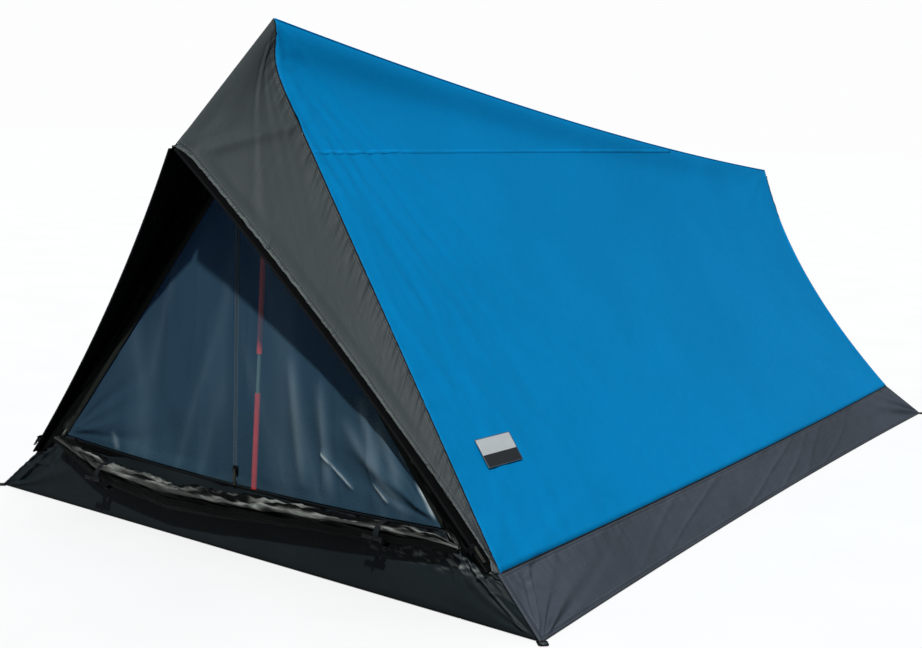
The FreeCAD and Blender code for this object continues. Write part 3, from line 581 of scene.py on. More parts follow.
def cloth_material(name, colour, roughness=0.55, specular=0.15, weave=0.0009, creases=0.12,
                   translucent=0.0, through=None, stitch=None, variation=0.12,
                   hem_dark=0.25, painted_highlights=None):
    """Coated tent cloth: weave, small set-in creases, uneven colour, darker sewn edges, and
    painted highlights on crumples where a highlight colour is given.
    """
    n = Nodes(name)
    uv, place = n.uv(), n.place()
    base = linear(colour)
    cloudy = n.noise(place, 3.0, 4.0, 0.6)
    fine = n.noise(n.scaled(uv, (60, 60, 1)), 1.0, 3.0, 0.6)
    shade = n.mix(n.ramp(cloudy, 0.35, 0.65), tint(base, 1 - variation), tint(base, 1 + variation))
    shade = n.darken(shade, fine, 0.10)
    edge = n.mark("edge")
    near = n.math("SUBTRACT", 1.0, n.ramp(edge, 0.0, 0.014))
    shade = n.darken(shade, near, hem_dark)
    if stitch is not None:
        shade = n.mix(stitch_line(n, uv, edge), shade, linear(stitch))
    # painted highlights: a lighter colour where the mesh's ridge value marks crumples that catch
    # the light
    if painted_highlights is not None:
        shade = n.mix(n.mark("ridge"), shade, linear(painted_highlights))

    # small creases left from packing: long broken lines in two directions
    folded = n.noise(n.scaled(uv, (5, 16, 1)), 1.0, 3.0, 0.55, 0.6)
    crossed = n.noise(n.scaled(uv, (19, 4, 1)), 1.0, 3.0, 0.55, 0.8)
    lines = n.math("MINIMUM", n.ramp(n.off_middle(folded), 0.0, 0.10),
                   n.ramp(n.off_middle(crossed), 0.0, 0.07))
    crumple = n.noise(place, 28.0, 3.0, 0.6)
    height = n.math("ADD", n.math("MULTIPLY", lines, 0.5), n.math("MULTIPLY", crumple, 0.8))
    creased = n.bump(height, creases, 0.004)
    bump = n.bump(weave_height(n, uv, weave), 0.12, 0.0002, Normal=creased)
    rough = n.math("ADD", roughness, n.math("MULTIPLY", n.math("SUBTRACT", fine, 0.5), 0.2))
    shader = n.surface(shade, rough, bump, specular)
    if translucent:
        glow = n.add("ShaderNodeBsdfTranslucent", {"Color": linear(through or colour),
                                                   "Normal": bump}).outputs[0]
        shader = n.add("ShaderNodeMixShader", {0: translucent, 1: shader, 2: glow}).outputs[0]
    return n.out(shader)


def stitch_line(n, uv, edge):
    """Two rows of short stitches that run beside every sewn edge."""
    split = n.add("ShaderNodeSeparateXYZ", {0: uv})
    run = n.math("ADD", split.outputs[0], split.outputs[1])
    dash = n.math("GREATER_THAN", n.math("FRACT", n.math("MULTIPLY", run, 1 / 0.004)), 0.4)
    rows = None
    for place in (0.003, 0.009):
        row = n.math("LESS_THAN", n.math("ABSOLUTE", n.math("SUBTRACT", edge, place)), 0.0004)
        rows = row if rows is None else n.math("MAXIMUM", rows, row)
    return n.math("MULTIPLY", n.math("MULTIPLY", dash, rows), 0.7)


def net_material(name, colour, cover, glint):
    """Insect mesh: fine threads that let most of the light through, denser along its folds and
    whitened there by painted highlights.
    """
    n = Nodes(name)
    place = n.place()
    cloudy = n.noise(n.scaled(place, (5, 5, 2.0)), 1.0, 3.0, 0.55)
    streaks = n.noise(n.scaled(place, (26, 1, 2.4)), 1.0, 1.0, 0.5)
    threads = n.math("ABSOLUTE", weave_height(n, n.uv(), 0.0011))
    fold = n.mark("fold")
    base = linear(colour)
    shade = n.mix(n.ramp(cloudy, 0.3, 0.7), tint(base, 0.85), tint(base, 1.12))
    # painted highlights: along its folds the net takes the glint colour
    shade = n.mix(fold, n.darken(shade, threads, 0.25), linear(glint))
    solid = n.surface(shade, 0.5, n.bump(streaks, 0.10, 0.003), 0.15)
    clear = n.add("ShaderNodeBsdfTransparent").outputs[0]
    amount = n.math("MULTIPLY_ADD", n.math("SUBTRACT", streaks, 0.5), 0.06, cover)
    amount = n.math("MULTIPLY_ADD", fold, 0.6, amount, clamp=True)
    return n.out(n.add("ShaderNodeMixShader", {0: amount, 1: clear, 2: solid}).outputs[0])


def hard_material(name, colour, metallic=0.0, roughness=0.4, scratches=0.3, worn=None):
    """Plastic, lacquer or metal with a fine surface grain, scratches and worn patches."""
    n = Nodes(name)
    place = n.place()
    base = linear(colour)
    patches = n.noise(place, 40.0, 4.0, 0.65)
    marks = n.noise(n.scaled(place, (900, 900, 60)), 1.0, 2.0, 0.6)
    shade = n.mix(n.ramp(patches, 0.3, 0.75), tint(base, 0.86), base)
    if worn:
        rubbed = n.math("MULTIPLY", n.ramp(marks, 0.62, 0.72), scratches)
        shade = n.mix(rubbed, shade, linear(worn))
    height = n.math("ADD", n.noise(place, 400.0), n.math("MULTIPLY", marks, 0.5))
    rough = n.math("MULTIPLY_ADD", patches, 0.25, roughness - 0.1)
    return n.out(n.surface(shade, rough, n.bump(height, 0.15, 0.0002), metallic=metallic))


def webbing_material(name, colour, pitch=0.0016):
    """Narrow woven tape with diagonal ribs."""
    n = Nodes(name)
    uv = n.uv()
    base = linear(colour)
    ribs = weave_height(n, uv, pitch)
    fuzz = n.noise(n.scaled(uv, (700, 700, 1)), 1.0)
    shade = n.darken(n.mix(n.ramp(ribs, -0.6, 0.6), tint(base, 0.6), base), fuzz, 0.2)
    return n.out(n.surface(shade, 0.75, n.bump(ribs, 0.5, 0.0004), 0.08))


def label_material():
    """A blank woven label: light above, dark band below, with a bound edge."""
    n = Nodes("label_weave")
    uv = n.uv()
    split = n.add("ShaderNodeSeparateXYZ", {0: uv})
    upper = n.math("GREATER_THAN", split.outputs[1], LABEL_BAND)
    threads = weave_height(n, uv, 0.0007)
    shade = n.mix(upper, linear("#20262B"), linear("#C9D0D4"))
    shade = n.darken(shade, n.ramp(threads, -1, 1), 0.15)
    shade = n.mix(n.math("LESS_THAN", n.mark("edge"), 0.0012), shade, linear("#5A6670"))
    return n.out(n.surface(shade, 0.6, n.bump(threads, 0.4, 0.0002)))


roof_out = cloth_material("roof_cloth", "#008BCD", roughness=0.6, specular=0.06, creases=0.08,
                          translucent=0.10, through="#0A66B8", variation=0.04, hem_dark=0.10)
roof_in = cloth_material("roof_cloth_inside", "#0B2A5A", roughness=0.6, specular=0.1,
                         translucent=0.30, through="#1470C8", variation=0.08)
seam_blue = cloth_material("roof_seam_cloth", "#0088C9", roughness=0.6, specular=0.06,
                           creases=0.25, hem_dark=0.0)
awning_out = cloth_material("awning_cloth", "#3F4648", roughness=0.55, specular=0.14,
                            creases=0.10, variation=0.06, hem_dark=0.22, stitch="#6E7474")
hem_cloth = cloth_material("awning_hem_cloth", "#545B5B", roughness=0.5, specular=0.2,
                           creases=0.9, variation=0.25, hem_dark=0.0)
awning_in = cloth_material("awning_cloth_inside", "#0D110C", roughness=0.6, specular=0.1)
wall_out = cloth_material("wall_cloth", "#444B55", roughness=0.5, specular=0.16, creases=0.22,
                          variation=0.10, hem_dark=0.25, stitch="#6A7079")
wall_in = cloth_material("wall_cloth_inside", "#1C2324", roughness=0.5)
# the last colour of the sill and border cloth is a painted highlight on their crumples
sill_out = cloth_material("sill_cloth", "#1D2528", roughness=0.5, specular=0.14, creases=0.10,
                          variation=0.12, hem_dark=0.3, painted_highlights="#98A09C")
border_out = cloth_material("border_cloth", "#070909", roughness=0.5, specular=0.12,
                            creases=0.3, painted_highlights="#8B938E")
gable_out = cloth_material("gable_cloth", "#3E4647", roughness=0.5, specular=0.16,
                           creases=0.15, variation=0.1, hem_dark=0.3, stitch="#6E7474")
floor_in = cloth_material("floor_cloth", "#1B2320", roughness=0.5, specular=0.3, weave=0.0022,
                          creases=0.4)
# the door cloth's last colour is a painted highlight on the crumpled top of the roll
roll_cloth = cloth_material("door_cloth", "#070808", roughness=0.45, specular=0.12,
                            creases=0.25, variation=0.2, hem_dark=0.0, painted_highlights="#868B86")
# the mesh's last colour is its painted highlight along folds
net = net_material("mesh", "#5B87A4", 0.17, "#D8E2E0")
vent_net = net_material("vent_mesh", "#101214", 0.45, "#303438")
tape = webbing_material("zip_tape", "#060708", 0.0010)
binding_tape = webbing_material("mesh_binding_tape", "#2B302B", 0.0012)
webbing = webbing_material("webbing", "#1C1E20")
piping = webbing_material("seam_piping", "#2A2F32", 0.0012)
mesh_tape = webbing_material("mesh_zip_tape", "#536878", 0.0010)
mesh_teeth = hard_material("mesh_zip_teeth", "#4A5D6A", roughness=0.6)
teeth = hard_material("zip_teeth", "#101113", roughness=0.3)
slider_paint = hard_material("slider_metal", "#1B1C1E", metallic=0.8, roughness=0.3,
                             worn="#8A8C8E", scratches=0.6)
pull_plastic = hard_material("pull_plastic", "#34352F", roughness=0.45)
toggle_plastic = hard_material("toggle_plastic", "#0E0F10", roughness=0.3)
loop_cord = webbing_material("loop_cord", "#24282A", 0.0012)
pole_paint = hard_material("pole_paint", "#E8402F", roughness=0.4, worn="#D8D0C8",
                           scratches=0.25)
spigot_metal = hard_material("spigot_steel", "#8FB3A8", metallic=0.7, roughness=0.35,
                             worn="#C8D8D0", scratches=0.5)
pole_plastic = hard_material("pole_plastic", "#101112", roughness=0.5)
patch = hard_material("patch_cloth", "#16181A", roughness=0.7)
eyelet_metal = hard_material("eyelet_metal", "#A8A59A", metallic=1.0, roughness=0.3,
                             worn="#E0DCCB", scratches=0.4)
label_cloth = label_material()


# ---------------------------------------------------------------- roof

ROOF_LENGTH = 1.93
FRONT_SLOPE = 0.93
REAR_SLOPE = 0.65
ROOF_FANS = [
    ((-0.01, -0.01), 1.10, 0.42, 26, 0.0027, 0.80, 1, 0.012),
    ((-0.03, -0.30), 1.42, 0.10, 8, 0.0020, 1.30, 9, 0.011),
    ((-0.01, 0.95), -0.75, 0.55, 8, 0.0016, 0.40, 2, 0.02),
    ((1.94, 0.66), -2.55, 0.55, 8, 0.0018, 0.45, 3, 0.02),
    ((1.94, -0.01), 2.2, 0.6, 7, 0.0012, 0.35, 4, 0.02),
]

roof_grid = {}


def on_roof(along, side_down):
    """Places on the finished roof, wrinkles included; side_down runs from -1 to 1."""
    rows = np.interp(along, roof_grid["along"], np.arange(len(roof_grid["along"])))
    columns = np.interp(side_down, roof_grid["sides"], np.arange(len(roof_grid["sides"])))
    r = np.minimum(rows.astype(int), len(roof_grid["along"]) - 2)
    c = np.minimum(columns.astype(int), len(roof_grid["sides"]) - 2)
    points = roof_grid["points"]
    left = between(points[r, c], points[r + 1, c], rows - r)
    right = between(points[r, c + 1], points[r + 1, c + 1], rows - r)
    return between(left, right, columns - c)


def make_roof():
    """One sheet from the left seam over the ridge to the right seam."""
    along = np.linspace(0, 1, 190)
    a, s, right, normals = over_the_ridge(roof_point, along, np.linspace(0, 1, 96))
    down = np.abs(s)
    slope = FRONT_SLOPE + (REAR_SLOPE - FRONT_SLOPE) * a
    u, v = a * ROOF_LENGTH, down * slope
    level = np.abs(right[..., 2] - PANEL_JOIN_Z) / 0.8

    def wrinkles(seed):
        wave = 0.0016 * fbm(u * 2.2, v * 3.0, seed)
        wave += fans(np.stack([u, v], -1), seed, ROOF_FANS)
        wave += pucker(u, slope * (1 - down), 0.030, 0.0016, 0.035, seed + 5)
        wave += pucker(v, u, 0.026, 0.0024, 0.035, seed + 6)
        wave += pucker(v, ROOF_LENGTH - u, 0.026, 0.0013, 0.030, seed + 7)
        return wave + pucker(u, level, 0.030, 0.0011, 0.022, seed + 8)

    fade = smooth(0, 0.03, v) * smooth(0, 0.006, slope * (1 - down) + 0.002)
    points = unfolded(right + normals * col(by_side(s, (11, 31), wrinkles) * fade), s)
    roof_grid.update(along=along, sides=s[0], points=points)
    obj = cloth_sheet("roof_canopy", points, (0, 0.05, 1.0), roof_out, roof_in,
                      uv=np.stack([u, s * slope], -1))
    dress(obj, "roof_cloth", "roof_upper_right", "roof_upper_left", "roof_lower_right",
          "roof_lower_left")


def roof_normal(along, down):
    step = 0.004
    lengthwise = roof_point(along + step, down) - roof_point(along - step, down)
    crosswise = roof_point(along, down + step) - roof_point(along, down - step)
    normal = unit(np.cross(lengthwise, crosswise))
    return np.where(normal[..., :1] < 0, -normal, normal)


def level_seam_down(along):
    """How far down the roof the level seam lies, at places along the ridge."""
    low, high = np.zeros_like(along), np.ones_like(along)
    for _step in range(30):
        middle = (low + high) / 2
        above = roof_point(along, middle)[..., 2] > PANEL_JOIN_Z
        low, high = np.where(above, middle, low), np.where(above, high, middle)
    return (low + high) / 2


def make_roof_seams():
    """Felled seams: the level one on each side, the ridge, and the roof's rear hem."""
    reach = np.linspace(0.004, 0.85, 220)
    down = level_seam_down(reach)
    level = roof_point(reach, down)[..., 2] <= PANEL_JOIN_Z + 0.002
    kept = level & (down > 0.008)
    reach, down = reach[kept], down[kept]
    for side, sign, flip in SIDES:
        normal = flip(roof_normal(reach, down))
        line = on_roof(reach, down * sign) + normal * 0.0003
        across = np.cross(normal, unit(np.gradient(line, axis=0)))
        dress(ribbon(f"roof_seam_{side}", line, across, normal, 0.0075, 0.0007, seam_blue),
              "roof_cloth")

    line = ridge(np.linspace(0.002, 0.998, 160)) - np.array([0, 0, 0.0006])
    dress(ribbon("ridge_seam", line, (1, 0, 0), (0, 0, 1), 0.004, 0.0022, seam_blue),
          "roof_cloth")

    down = np.linspace(0.01, 0.995, 110)
    line = roof_point(np.full_like(down, 0.997), down)
    normal = roof_normal(np.full_like(down, 0.99), down)
    across = np.cross(normal, unit(np.gradient(line, axis=0)))
    for side, _sign, flip in SIDES:
        dress(ribbon(f"roof_rear_hem_{side}", flip(line), flip(across), flip(normal), 0.010,
                     0.0022, seam_blue), "roof_cloth")


# ---------------------------------------------------------------- awning

AWNING_SLOPE = 0.93
AWNING_PEAK_WIDTH = 0.285
AWNING_FANS = [
    ((AWNING_PEAK_WIDTH, 0.0), 2.25, 0.45, 6, 0.0030, 0.24, 1, 0.022),
    ((0.0, 0.0), 1.2, 0.45, 6, 0.0024, 0.30, 2, 0.018),
]


def make_awning():
    """One grey sheet from the left corner over the short ridge to the right corner."""
    f, s, right, normals = over_the_ridge(awning_point, np.linspace(0, 1, 60),
                                          np.linspace(0, 1, 380))
    down = np.abs(s)
    width = np.linalg.norm(arc.point(down) - front_edge(down), axis=-1)
    u, v = f * width, down * AWNING_SLOPE
    # a fold runs from the awning's peak back to the seam
    fold = v - 0.02 - (AWNING_PEAK_WIDTH - u) * 0.62

    def wrinkles(seed):
        wave = 0.0030 * fbm(u * 4, v * 1.7, seed, 2)
        wave += fans(np.stack([u, v], -1), seed, AWNING_FANS)
        wave += pucker(v, u, 0.013, 0.0044, 0.018, seed + 3)
        wave += pucker(v, width - u, 0.010, 0.0022, 0.010, seed + 4)
        wave += 0.0022 * crease(u * 7, v * 1.8 + 3, seed + 5) * smooth(0.45, 0.8, down)
        return wave + 0.0045 * np.exp(-(fold / 0.011) ** 2) * smooth(0.29, 0.2, u)

    lift = by_side(s, (51, 71), wrinkles) * smooth(0, 0.035, v) * smooth(0, 0.004, u + 0.001)
    near_hem = smooth(0.035, 0.015, width * (1 - f))
    lift = np.where(lift < 0, lift * (1 - near_hem), lift) + 0.0012 * near_hem
    points = unfolded(right + normals * col(lift), s)
    obj = cloth_sheet("awning_canopy", points, (0, -0.3, 1.0), awning_out, awning_in,
                      uv=np.stack([u, s * AWNING_SLOPE], -1))
    dress(obj, "awning_cloth", "awning_right", "awning_left")


def make_awning_trim():
    """The awning's folded front hem and the piping of its seam with the roof."""
    down = np.linspace(0.004, 0.996, 420)
    ripple = 0.0010 * noise(down * 60, down * 0, 7) + 0.0008 * noise(down * 170, down * 0, 8)
    hem = arc.point(down, hem_edge(down) - 0.0062 * smooth(0, 0.05, down), 0.0012)
    hem = hem + arc.out * col(ripple)
    for side, _sign, flip in SIDES:
        dress(ribbon(f"awning_hem_{side}", flip(hem), flip(arc.inward(down)), flip(arc.out),
                     0.0125, 0.0024, hem_cloth, back=border_out), "awning_cloth")
    seam = front_edge(down)
    normal = roof_normal(np.full_like(down, 0.004), down)
    across = np.cross(normal, unit(np.gradient(seam, axis=0)))
    seam = seam + normal * col(0.0006 * noise(down * 90, down * 0, 9))
    for side, _sign, flip in SIDES:
        dress(ribbon(f"front_seam_{side}", flip(seam), flip(across), flip(normal), 0.0026,
                     0.0018, piping), "awning_cloth")


# ---------------------------------------------------------------- wall strips

STRIP_FOOT_Z = 0.0016
STRIP_LENGTH = 1.96
STRIP_HEIGHT = 0.11
STRIP_FRONT_FANS = [
    ((-0.005, 0.115), -0.62, 0.58, 18, 0.0060, 0.30, 1, 0.017),
    ((0.0, 0.0), 0.45, 0.5, 6, 0.0040, 0.13, 2, 0.014),
]
STRIP_REAR_FANS = [((-1.965, 0.115), -0.55, 0.45, 9, 0.0060, 0.26, 4, 0.018)]
STRIP_FACE = (0.9, 0, 0.42)
STRIP_ACROSS = (-0.42, 0, 0.9)


def make_side_walls():
    # the grid is finer towards the corners, where the folds gather
    steps = np.linspace(0, 1, 560)
    along = 0.35 * steps + 0.65 * (1 - np.cos(math.pi * steps)) / 2
    a, d = np.meshgrid(along, np.linspace(0, 1, 64), indexing="ij")
    bottom = ground_edge(a) + np.array([0, 0, 0.0010])
    points = between(side_seam(a), bottom, d)
    normals = right_normals(points)
    u, v = a * STRIP_LENGTH, d * STRIP_HEIGHT
    flat = np.stack([u, v], -1)
    share = np.linspace(0.002, 0.998, 200)
    for (side, _sign, flip), seed in zip(SIDES, (101, 121)):
        wave = 0.0030 * fbm(u * 6, v * 9, seed, 4)
        wave += fans(flat, seed, STRIP_FRONT_FANS)
        wave += fans(flat * np.array([-1, 1]), seed, STRIP_REAR_FANS)
        wave += pucker(u, v, 0.022, 0.0034, 0.026, seed + 5)
        wave += pucker(u, STRIP_HEIGHT - v, 0.040, 0.0020, 0.030, seed + 6)
        wave += 0.0028 * crease(u * 5 + v * 14, v * 5, seed + 7) * smooth(
            0.7, 0.2, np.abs(a - 0.5) * 1.6)
        moved = points + normals * col(wave * inset(d, 0.10, 0.10) * inset(a, 0.006, 0.006))
        obj = cloth_sheet(f"side_strip_{side}", flip(moved), flip((1.0, 0, 1.0)), wall_out,
                          wall_in, uv=flat)
        dress(obj, "wall_cloth", f"side_wall_{side}")
        ripple = 0.0007 * noise(share * 60, share * 0, seed + 9)
        line = side_seam(share) + np.array([0.7, 0, 0.7]) * col(ripple)
        line = line + np.array([0.0007, 0, 0.0005])
        dress(ribbon(f"side_seam_{side}", flip(line), flip(STRIP_ACROSS), flip(STRIP_FACE),
                     0.0020, 0.0014, piping), "wall_cloth")


def sill_top(across):
    """Upper edge of the front sill, from the left seam corner to the right one."""
    x = (SEAM_FRONT[0] - 0.0008) * across
    fall = np.clip((np.abs(x) - DOOR_BASE_X) / (SEAM_FRONT[0] - 0.006 - DOOR_BASE_X), 0, 1)
    middle = SILL_TOP_Z + 0.005
    z = middle + (SEAM_FRONT[2] - middle) * fall - sill_sag(x)
    y = DOOR_Y + (SEAM_FRONT[1] - 0.001 - DOOR_Y) * fall ** 2
    return xyz(x, y, z)


SILL_HEIGHT = 0.118
SILL_FANS = [((FRONT_CORNER[0], SILL_HEIGHT), -2.62, 0.40, 7, 0.0040, 0.16, 0, 0.014)]
SILL_CORNER_FACE = (0.66, -0.6, 0.45)


def sill_wrinkles(u, v, d):
    """Folds of the front sill, gathered near its corners and rough beside the rolled door."""
    wave = 0.0026 * fbm(u * 4, v * 8, 141, 2)
    for side, seed in ((1, 142), (-1, 152)):
        x = u * side
        wave += fans(np.stack([x, v], -1), seed, SILL_FANS)
        near_seam = smooth(0.40, 0.50, x) * smooth(0.75, 0.1, d)
        wave += 0.0060 * near_seam * (crease(x * 26 + d * 3, d * 2.2, seed + 2) - 0.3)
        wave += 0.0035 * near_seam * noise(x * 60, d * 7, seed + 3)
        # the seam between the door's sill and the corner gore stands proud
        fold = x - 0.53 - 0.055 * d
        wave += 0.005 * np.exp(-(fold / 0.005) ** 2) * inset(d, 0.2, 0.2)
    upper = smooth(0.15, 0.36, u) * smooth(0.42, 0.05, d)
    return wave + 0.0060 * upper * fbm(u * 30, d * 6, 165, 3)


def make_front_sill():
    a, d = grid((-1, 1, 420), (0, 1, 44))
    bottom = xyz(FRONT_CORNER[0] * a, FRONT_CORNER[1], STRIP_FOOT_Z)
    points = between(sill_top(a), bottom, d)
    points[..., 1] -= 0.003 * np.sin(math.pi * d) * (1 - np.abs(a) ** 8)
    u, v = a * FRONT_CORNER[0], d * SILL_HEIGHT
    fade = inset(d, 0.08, 0.10) * smooth(0, 0.01, 1 - np.abs(a))
    points[..., 1] -= sill_wrinkles(u, v, d) * fade
    x, z = points[..., 0], points[..., 2]
    # painted highlights on the crumpled cloth below the roll's right end
    below_roll = np.exp(-((z - 0.079) / 0.010) ** 2) * smooth(0.24, 0.34, x)
    glint = 0.7 * smooth(0.05, 0.8, fbm(x * 48, z * 150, 167, 4)) * below_roll
    obj = cloth_sheet("front_sill_cloth", points, (0, -1.0, 0.1), sill_out, wall_in,
                      uv=np.stack([u, v], -1), values={"ridge": glint})
    dress(obj, "wall_cloth", "front_sill")

    share = np.linspace(0, 1, 60)
    line = between(SEAM_FRONT + np.array([-0.001, -0.001, 0.0]),
                   FRONT_CORNER + np.array([-0.0015, -0.0005, 0.002]), share)
    line = line + np.array([0.5, -0.8, 0.2]) * col(0.0010 * noise(share * 14, share, 171))
    across = np.cross(unit(line[-1] - line[0]), SILL_CORNER_FACE)
    for side, _sign, flip in SIDES:
        dress(ribbon(f"corner_seam_{side}", flip(line), flip(across), flip(SILL_CORNER_FACE),
                     0.006, 0.0020, wall_out), "wall_cloth")


REAR_WALL_HEIGHT = 0.092
REAR_WALL_FANS = [((REAR_CORNER[0], REAR_WALL_HEIGHT), -2.7, 0.35, 8, 0.0045, 0.22, 0, 0.018)]


def rear_seam_line(across):
    return SEAM_REAR * xyz(across, 1, 1)


def make_rear_wall():
    a, d = grid((-1, 1, 150), (0, 1, 22))
    bottom = xyz(REAR_CORNER[0] * a, REAR_CORNER[1] - 0.001, STRIP_FOOT_Z)
    points = between(rear_seam_line(a), bottom, d)
    u, v = a * REAR_CORNER[0], d * REAR_WALL_HEIGHT
    wave = 0.0024 * fbm(u * 7, v * 10, 181)
    for side, seed in ((1, 182), (-1, 192)):
        wave += fans(np.stack([u * side, v], -1), seed, REAR_WALL_FANS)
    wave += pucker(u, v, 0.03, 0.0018, 0.03, 195)
    fade = inset(d, 0.08, 0.10) * smooth(0, 0.01, 1 - np.abs(a))
    points += np.array([0, 0.76, 0.65]) * col(wave * fade)
    obj = cloth_sheet("rear_wall_cloth", points, (0, 1.0, 0.8), wall_out, wall_in,
                      uv=np.stack([u, v], -1))
    dress(obj, "wall_cloth", "rear_wall")
    line = rear_seam_line(np.linspace(-0.995, 0.995, 120)) + np.array([0, 0.0008, 0.0005])
    dress(ribbon("rear_seam", line, (0, -0.42, 0.9), (0, 0.9, 0.42), 0.007, 0.0022, piping),
          "wall_cloth")


# ---------------------------------------------------------------- rear gable and vent

GABLE_PEAK_FANS = [((0, 0.0), math.pi / 2, 0.35, 8, 0.0030, 0.35, 0, 0.018)]
GABLE_CORNER_FANS = [((0.38, 0.535), -2.55, 0.35, 7, 0.0032, 0.30, 0, 0.016)]


def make_gable():
    d, a = grid((0, 1, 140), (-1, 1, 101))
    edge = rear_edge(d)
    points = xyz((edge[..., 0] - 0.0003) * a,
                 GABLE_Y + (edge[..., 1] - GABLE_Y) * 0.5 * np.abs(a) ** 3,
                 edge[..., 2] - 0.0008)
    x, z = points[..., 0], points[..., 2]
    flat = np.stack([x, REAR_PEAK[2] - z], -1)
    wave = 0.0030 * fbm(x * 6, z * 5, 201) + fans(flat, 202, GABLE_PEAK_FANS)
    for side, seed in ((1, 204), (-1, 206)):
        wave += fans(flat * np.array([side, 1]), seed, GABLE_CORNER_FANS)
    points[..., 1] += wave * smooth(0, 0.04, 1 - np.abs(a)) * inset(d, 0.03, 0.03)
    middle = (points[:-1, :-1] + points[1:, 1:]) / 2
    high = middle[..., 2]
    half = VENT_HALF_WIDTH * (VENT_APEX_Z - high) / (VENT_APEX_Z - VENT_BASE_Z)
    hole = (high > VENT_BASE_Z) & (np.abs(middle[..., 0]) < half)
    obj = cloth_sheet("rear_gable_cloth", points, (0, 1.0, 0), gable_out, wall_in, uv=flat,
                      keep_faces=~hole)
    dress(obj, "awning_cloth", "rear_gable")


def make_vent():
    r, a = grid((0, 1, 26), (-1, 1, 25))
    high = VENT_APEX_Z + 0.004 - (VENT_APEX_Z - VENT_BASE_Z + 0.008) * r
    x = a * (VENT_HALF_WIDTH + 0.004) * np.maximum(r, 0.02)
    sag = 0.0015 * np.sin(math.pi * r) * (1 - a ** 2)
    obj = cloth_sheet("rear_vent_net", xyz(x, GABLE_Y - 0.0012 + sag, high), (0, 1.0, 0),
                      vent_net, thickness=NET)
    dress(obj, "mesh", "rear_vent_mesh")

    # the binding runs once round the opening and turns its corners
    corners = np.array([(-VENT_HALF_WIDTH, GABLE_Y + 0.001, VENT_BASE_Z),
                        (VENT_HALF_WIDTH, GABLE_Y + 0.001, VENT_BASE_Z),
                        (0, GABLE_Y + 0.001, VENT_APEX_Z)])
    sides = [between(start, end, np.linspace(0.06, 0.94, 16))
             for start, end in zip(corners, np.roll(corners, -1, axis=0))]
    line = np.concatenate(sides + [sides[0][:1]])
    across = np.cross((0, 1, 0), unit(np.gradient(line, axis=0)))
    dress(ribbon("rear_vent_binding", line, across, (0, 1, 0), 0.009, 0.002, piping),
          "awning_cloth")

    # the hood stands off the gable, stiffened along its lower edge
    low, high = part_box("rear_vent_hood")
    r, a = grid((0, 1, 30), (-1, 1, 41))
    half = 0.006 + (high.x - 0.006) * r
    y = low.y + 0.0006 + (high.y - low.y - 0.001) * r * (1 - 0.55 * a ** 2)
    z = high.z - (high.z - low.z) * r + 0.006 * a ** 2 * r
    points = xyz(half * a, y, z)
    points[..., 1] += 0.0012 * fbm(points[..., 0] * 16, points[..., 2] * 16, 215) * r
    hood = cloth_sheet("vent_hood_cloth", points, (0, 0.9, 0.3), gable_out, awning_in)
    dress(hood, "awning_cloth", "rear_vent_hood")
    line = points[-1]
    tangent = unit(np.gradient(line, axis=0))
    normal = unit(np.cross(tangent, (0, 0.3, -1.0)))
    dress(ribbon("vent_hood_hem", line, np.cross(normal, tangent), normal, 0.008, 0.0024,
                 piping), "awning_cloth")


# ---------------------------------------------------------------- door wall


def border_edge(down):
    """Where the door wall is sewn under the awning."""
    back, front = front_edge(down), arc.point(down, 0.004)
    share = np.clip((DOOR_Y - back[..., 1]) / (front[..., 1] - back[..., 1] - 1e-9), 0, 1)
    point = back + (front - back) * col(share)
    point = point - arc.out * 0.006
    point[..., 0] = np.maximum(point[..., 0], 0.0005)
    point[..., 1] = np.minimum(point[..., 1], SEAM_FRONT[1] - 0.006)
    return point


def door_slant(share):
    """The slanting edge of the right mesh door, from its apex down to the sill."""
    return xyz(DOOR_BASE_X * share, DOOR_Y, DOOR_APEX_Z + (DOOR_BASE_Z - DOOR_APEX_Z) * share)


BORDER_TOP = 0.125


def make_borders():
    d, a = grid((BORDER_TOP, 1, 130), (0, 1, 16))
    outer = border_edge(d)
    outer[..., 0] = np.where(d <= BORDER_TOP, 0.0, outer[..., 0])
    points = between(door_slant((d - BORDER_TOP) / (1 - BORDER_TOP)), outer, a)
    level = points[..., 2]
    low = smooth(0.30, 0.12, level)
    slant = door_slant(np.linspace(0, 1, 90)) - np.array([0, 0.0008, 0])
    across = np.cross([0, 1.0, 0], unit(slant[-1] - slant[0]))
    # painted highlights on the folds reach further up on the right border
    for (side, _sign, flip), seed, painted_highlight_top in zip(SIDES, (221, 231), (0.30, 0.17)):
        wave = 0.0022 * fbm(points[..., 0] * 9, level * 5, seed)
        wave += (0.0020 + 0.0045 * low) * crease(a * 2.6 + level * 4, d * 3, seed + 1)
        wave += 0.0025 * low * noise(level * 70, a * 4, seed + 2)
        moved = points.copy()
        moved[..., 1] -= wave * inset(a, 0.3, 0.2)
        glint = smooth(0.15, 0.75, fbm(level * 24, a * 2.5 + level * 6, seed + 5, 3) + 0.25)
        glint = glint * smooth(painted_highlight_top, painted_highlight_top * 0.7, level) * np.exp(-((a - 0.2) / 0.12) ** 2)
        obj = cloth_sheet(f"door_border_cloth_{side}", flip(moved), (0, -1.0, 0), border_out,
                          wall_in, values={"ridge": glint})
        dress(obj, "awning_cloth", f"door_border_{side}")
        dress(ribbon(f"mesh_binding_{side}", flip(slant - across * 0.004), flip(across),
                     flip((0, -1.0, 0)), 0.010, 0.0018, binding_tape), "zip_tape")


def mesh_edge_x(z):
    return DOOR_BASE_X * (DOOR_APEX_Z - z) / (DOOR_APEX_Z - DOOR_BASE_Z)


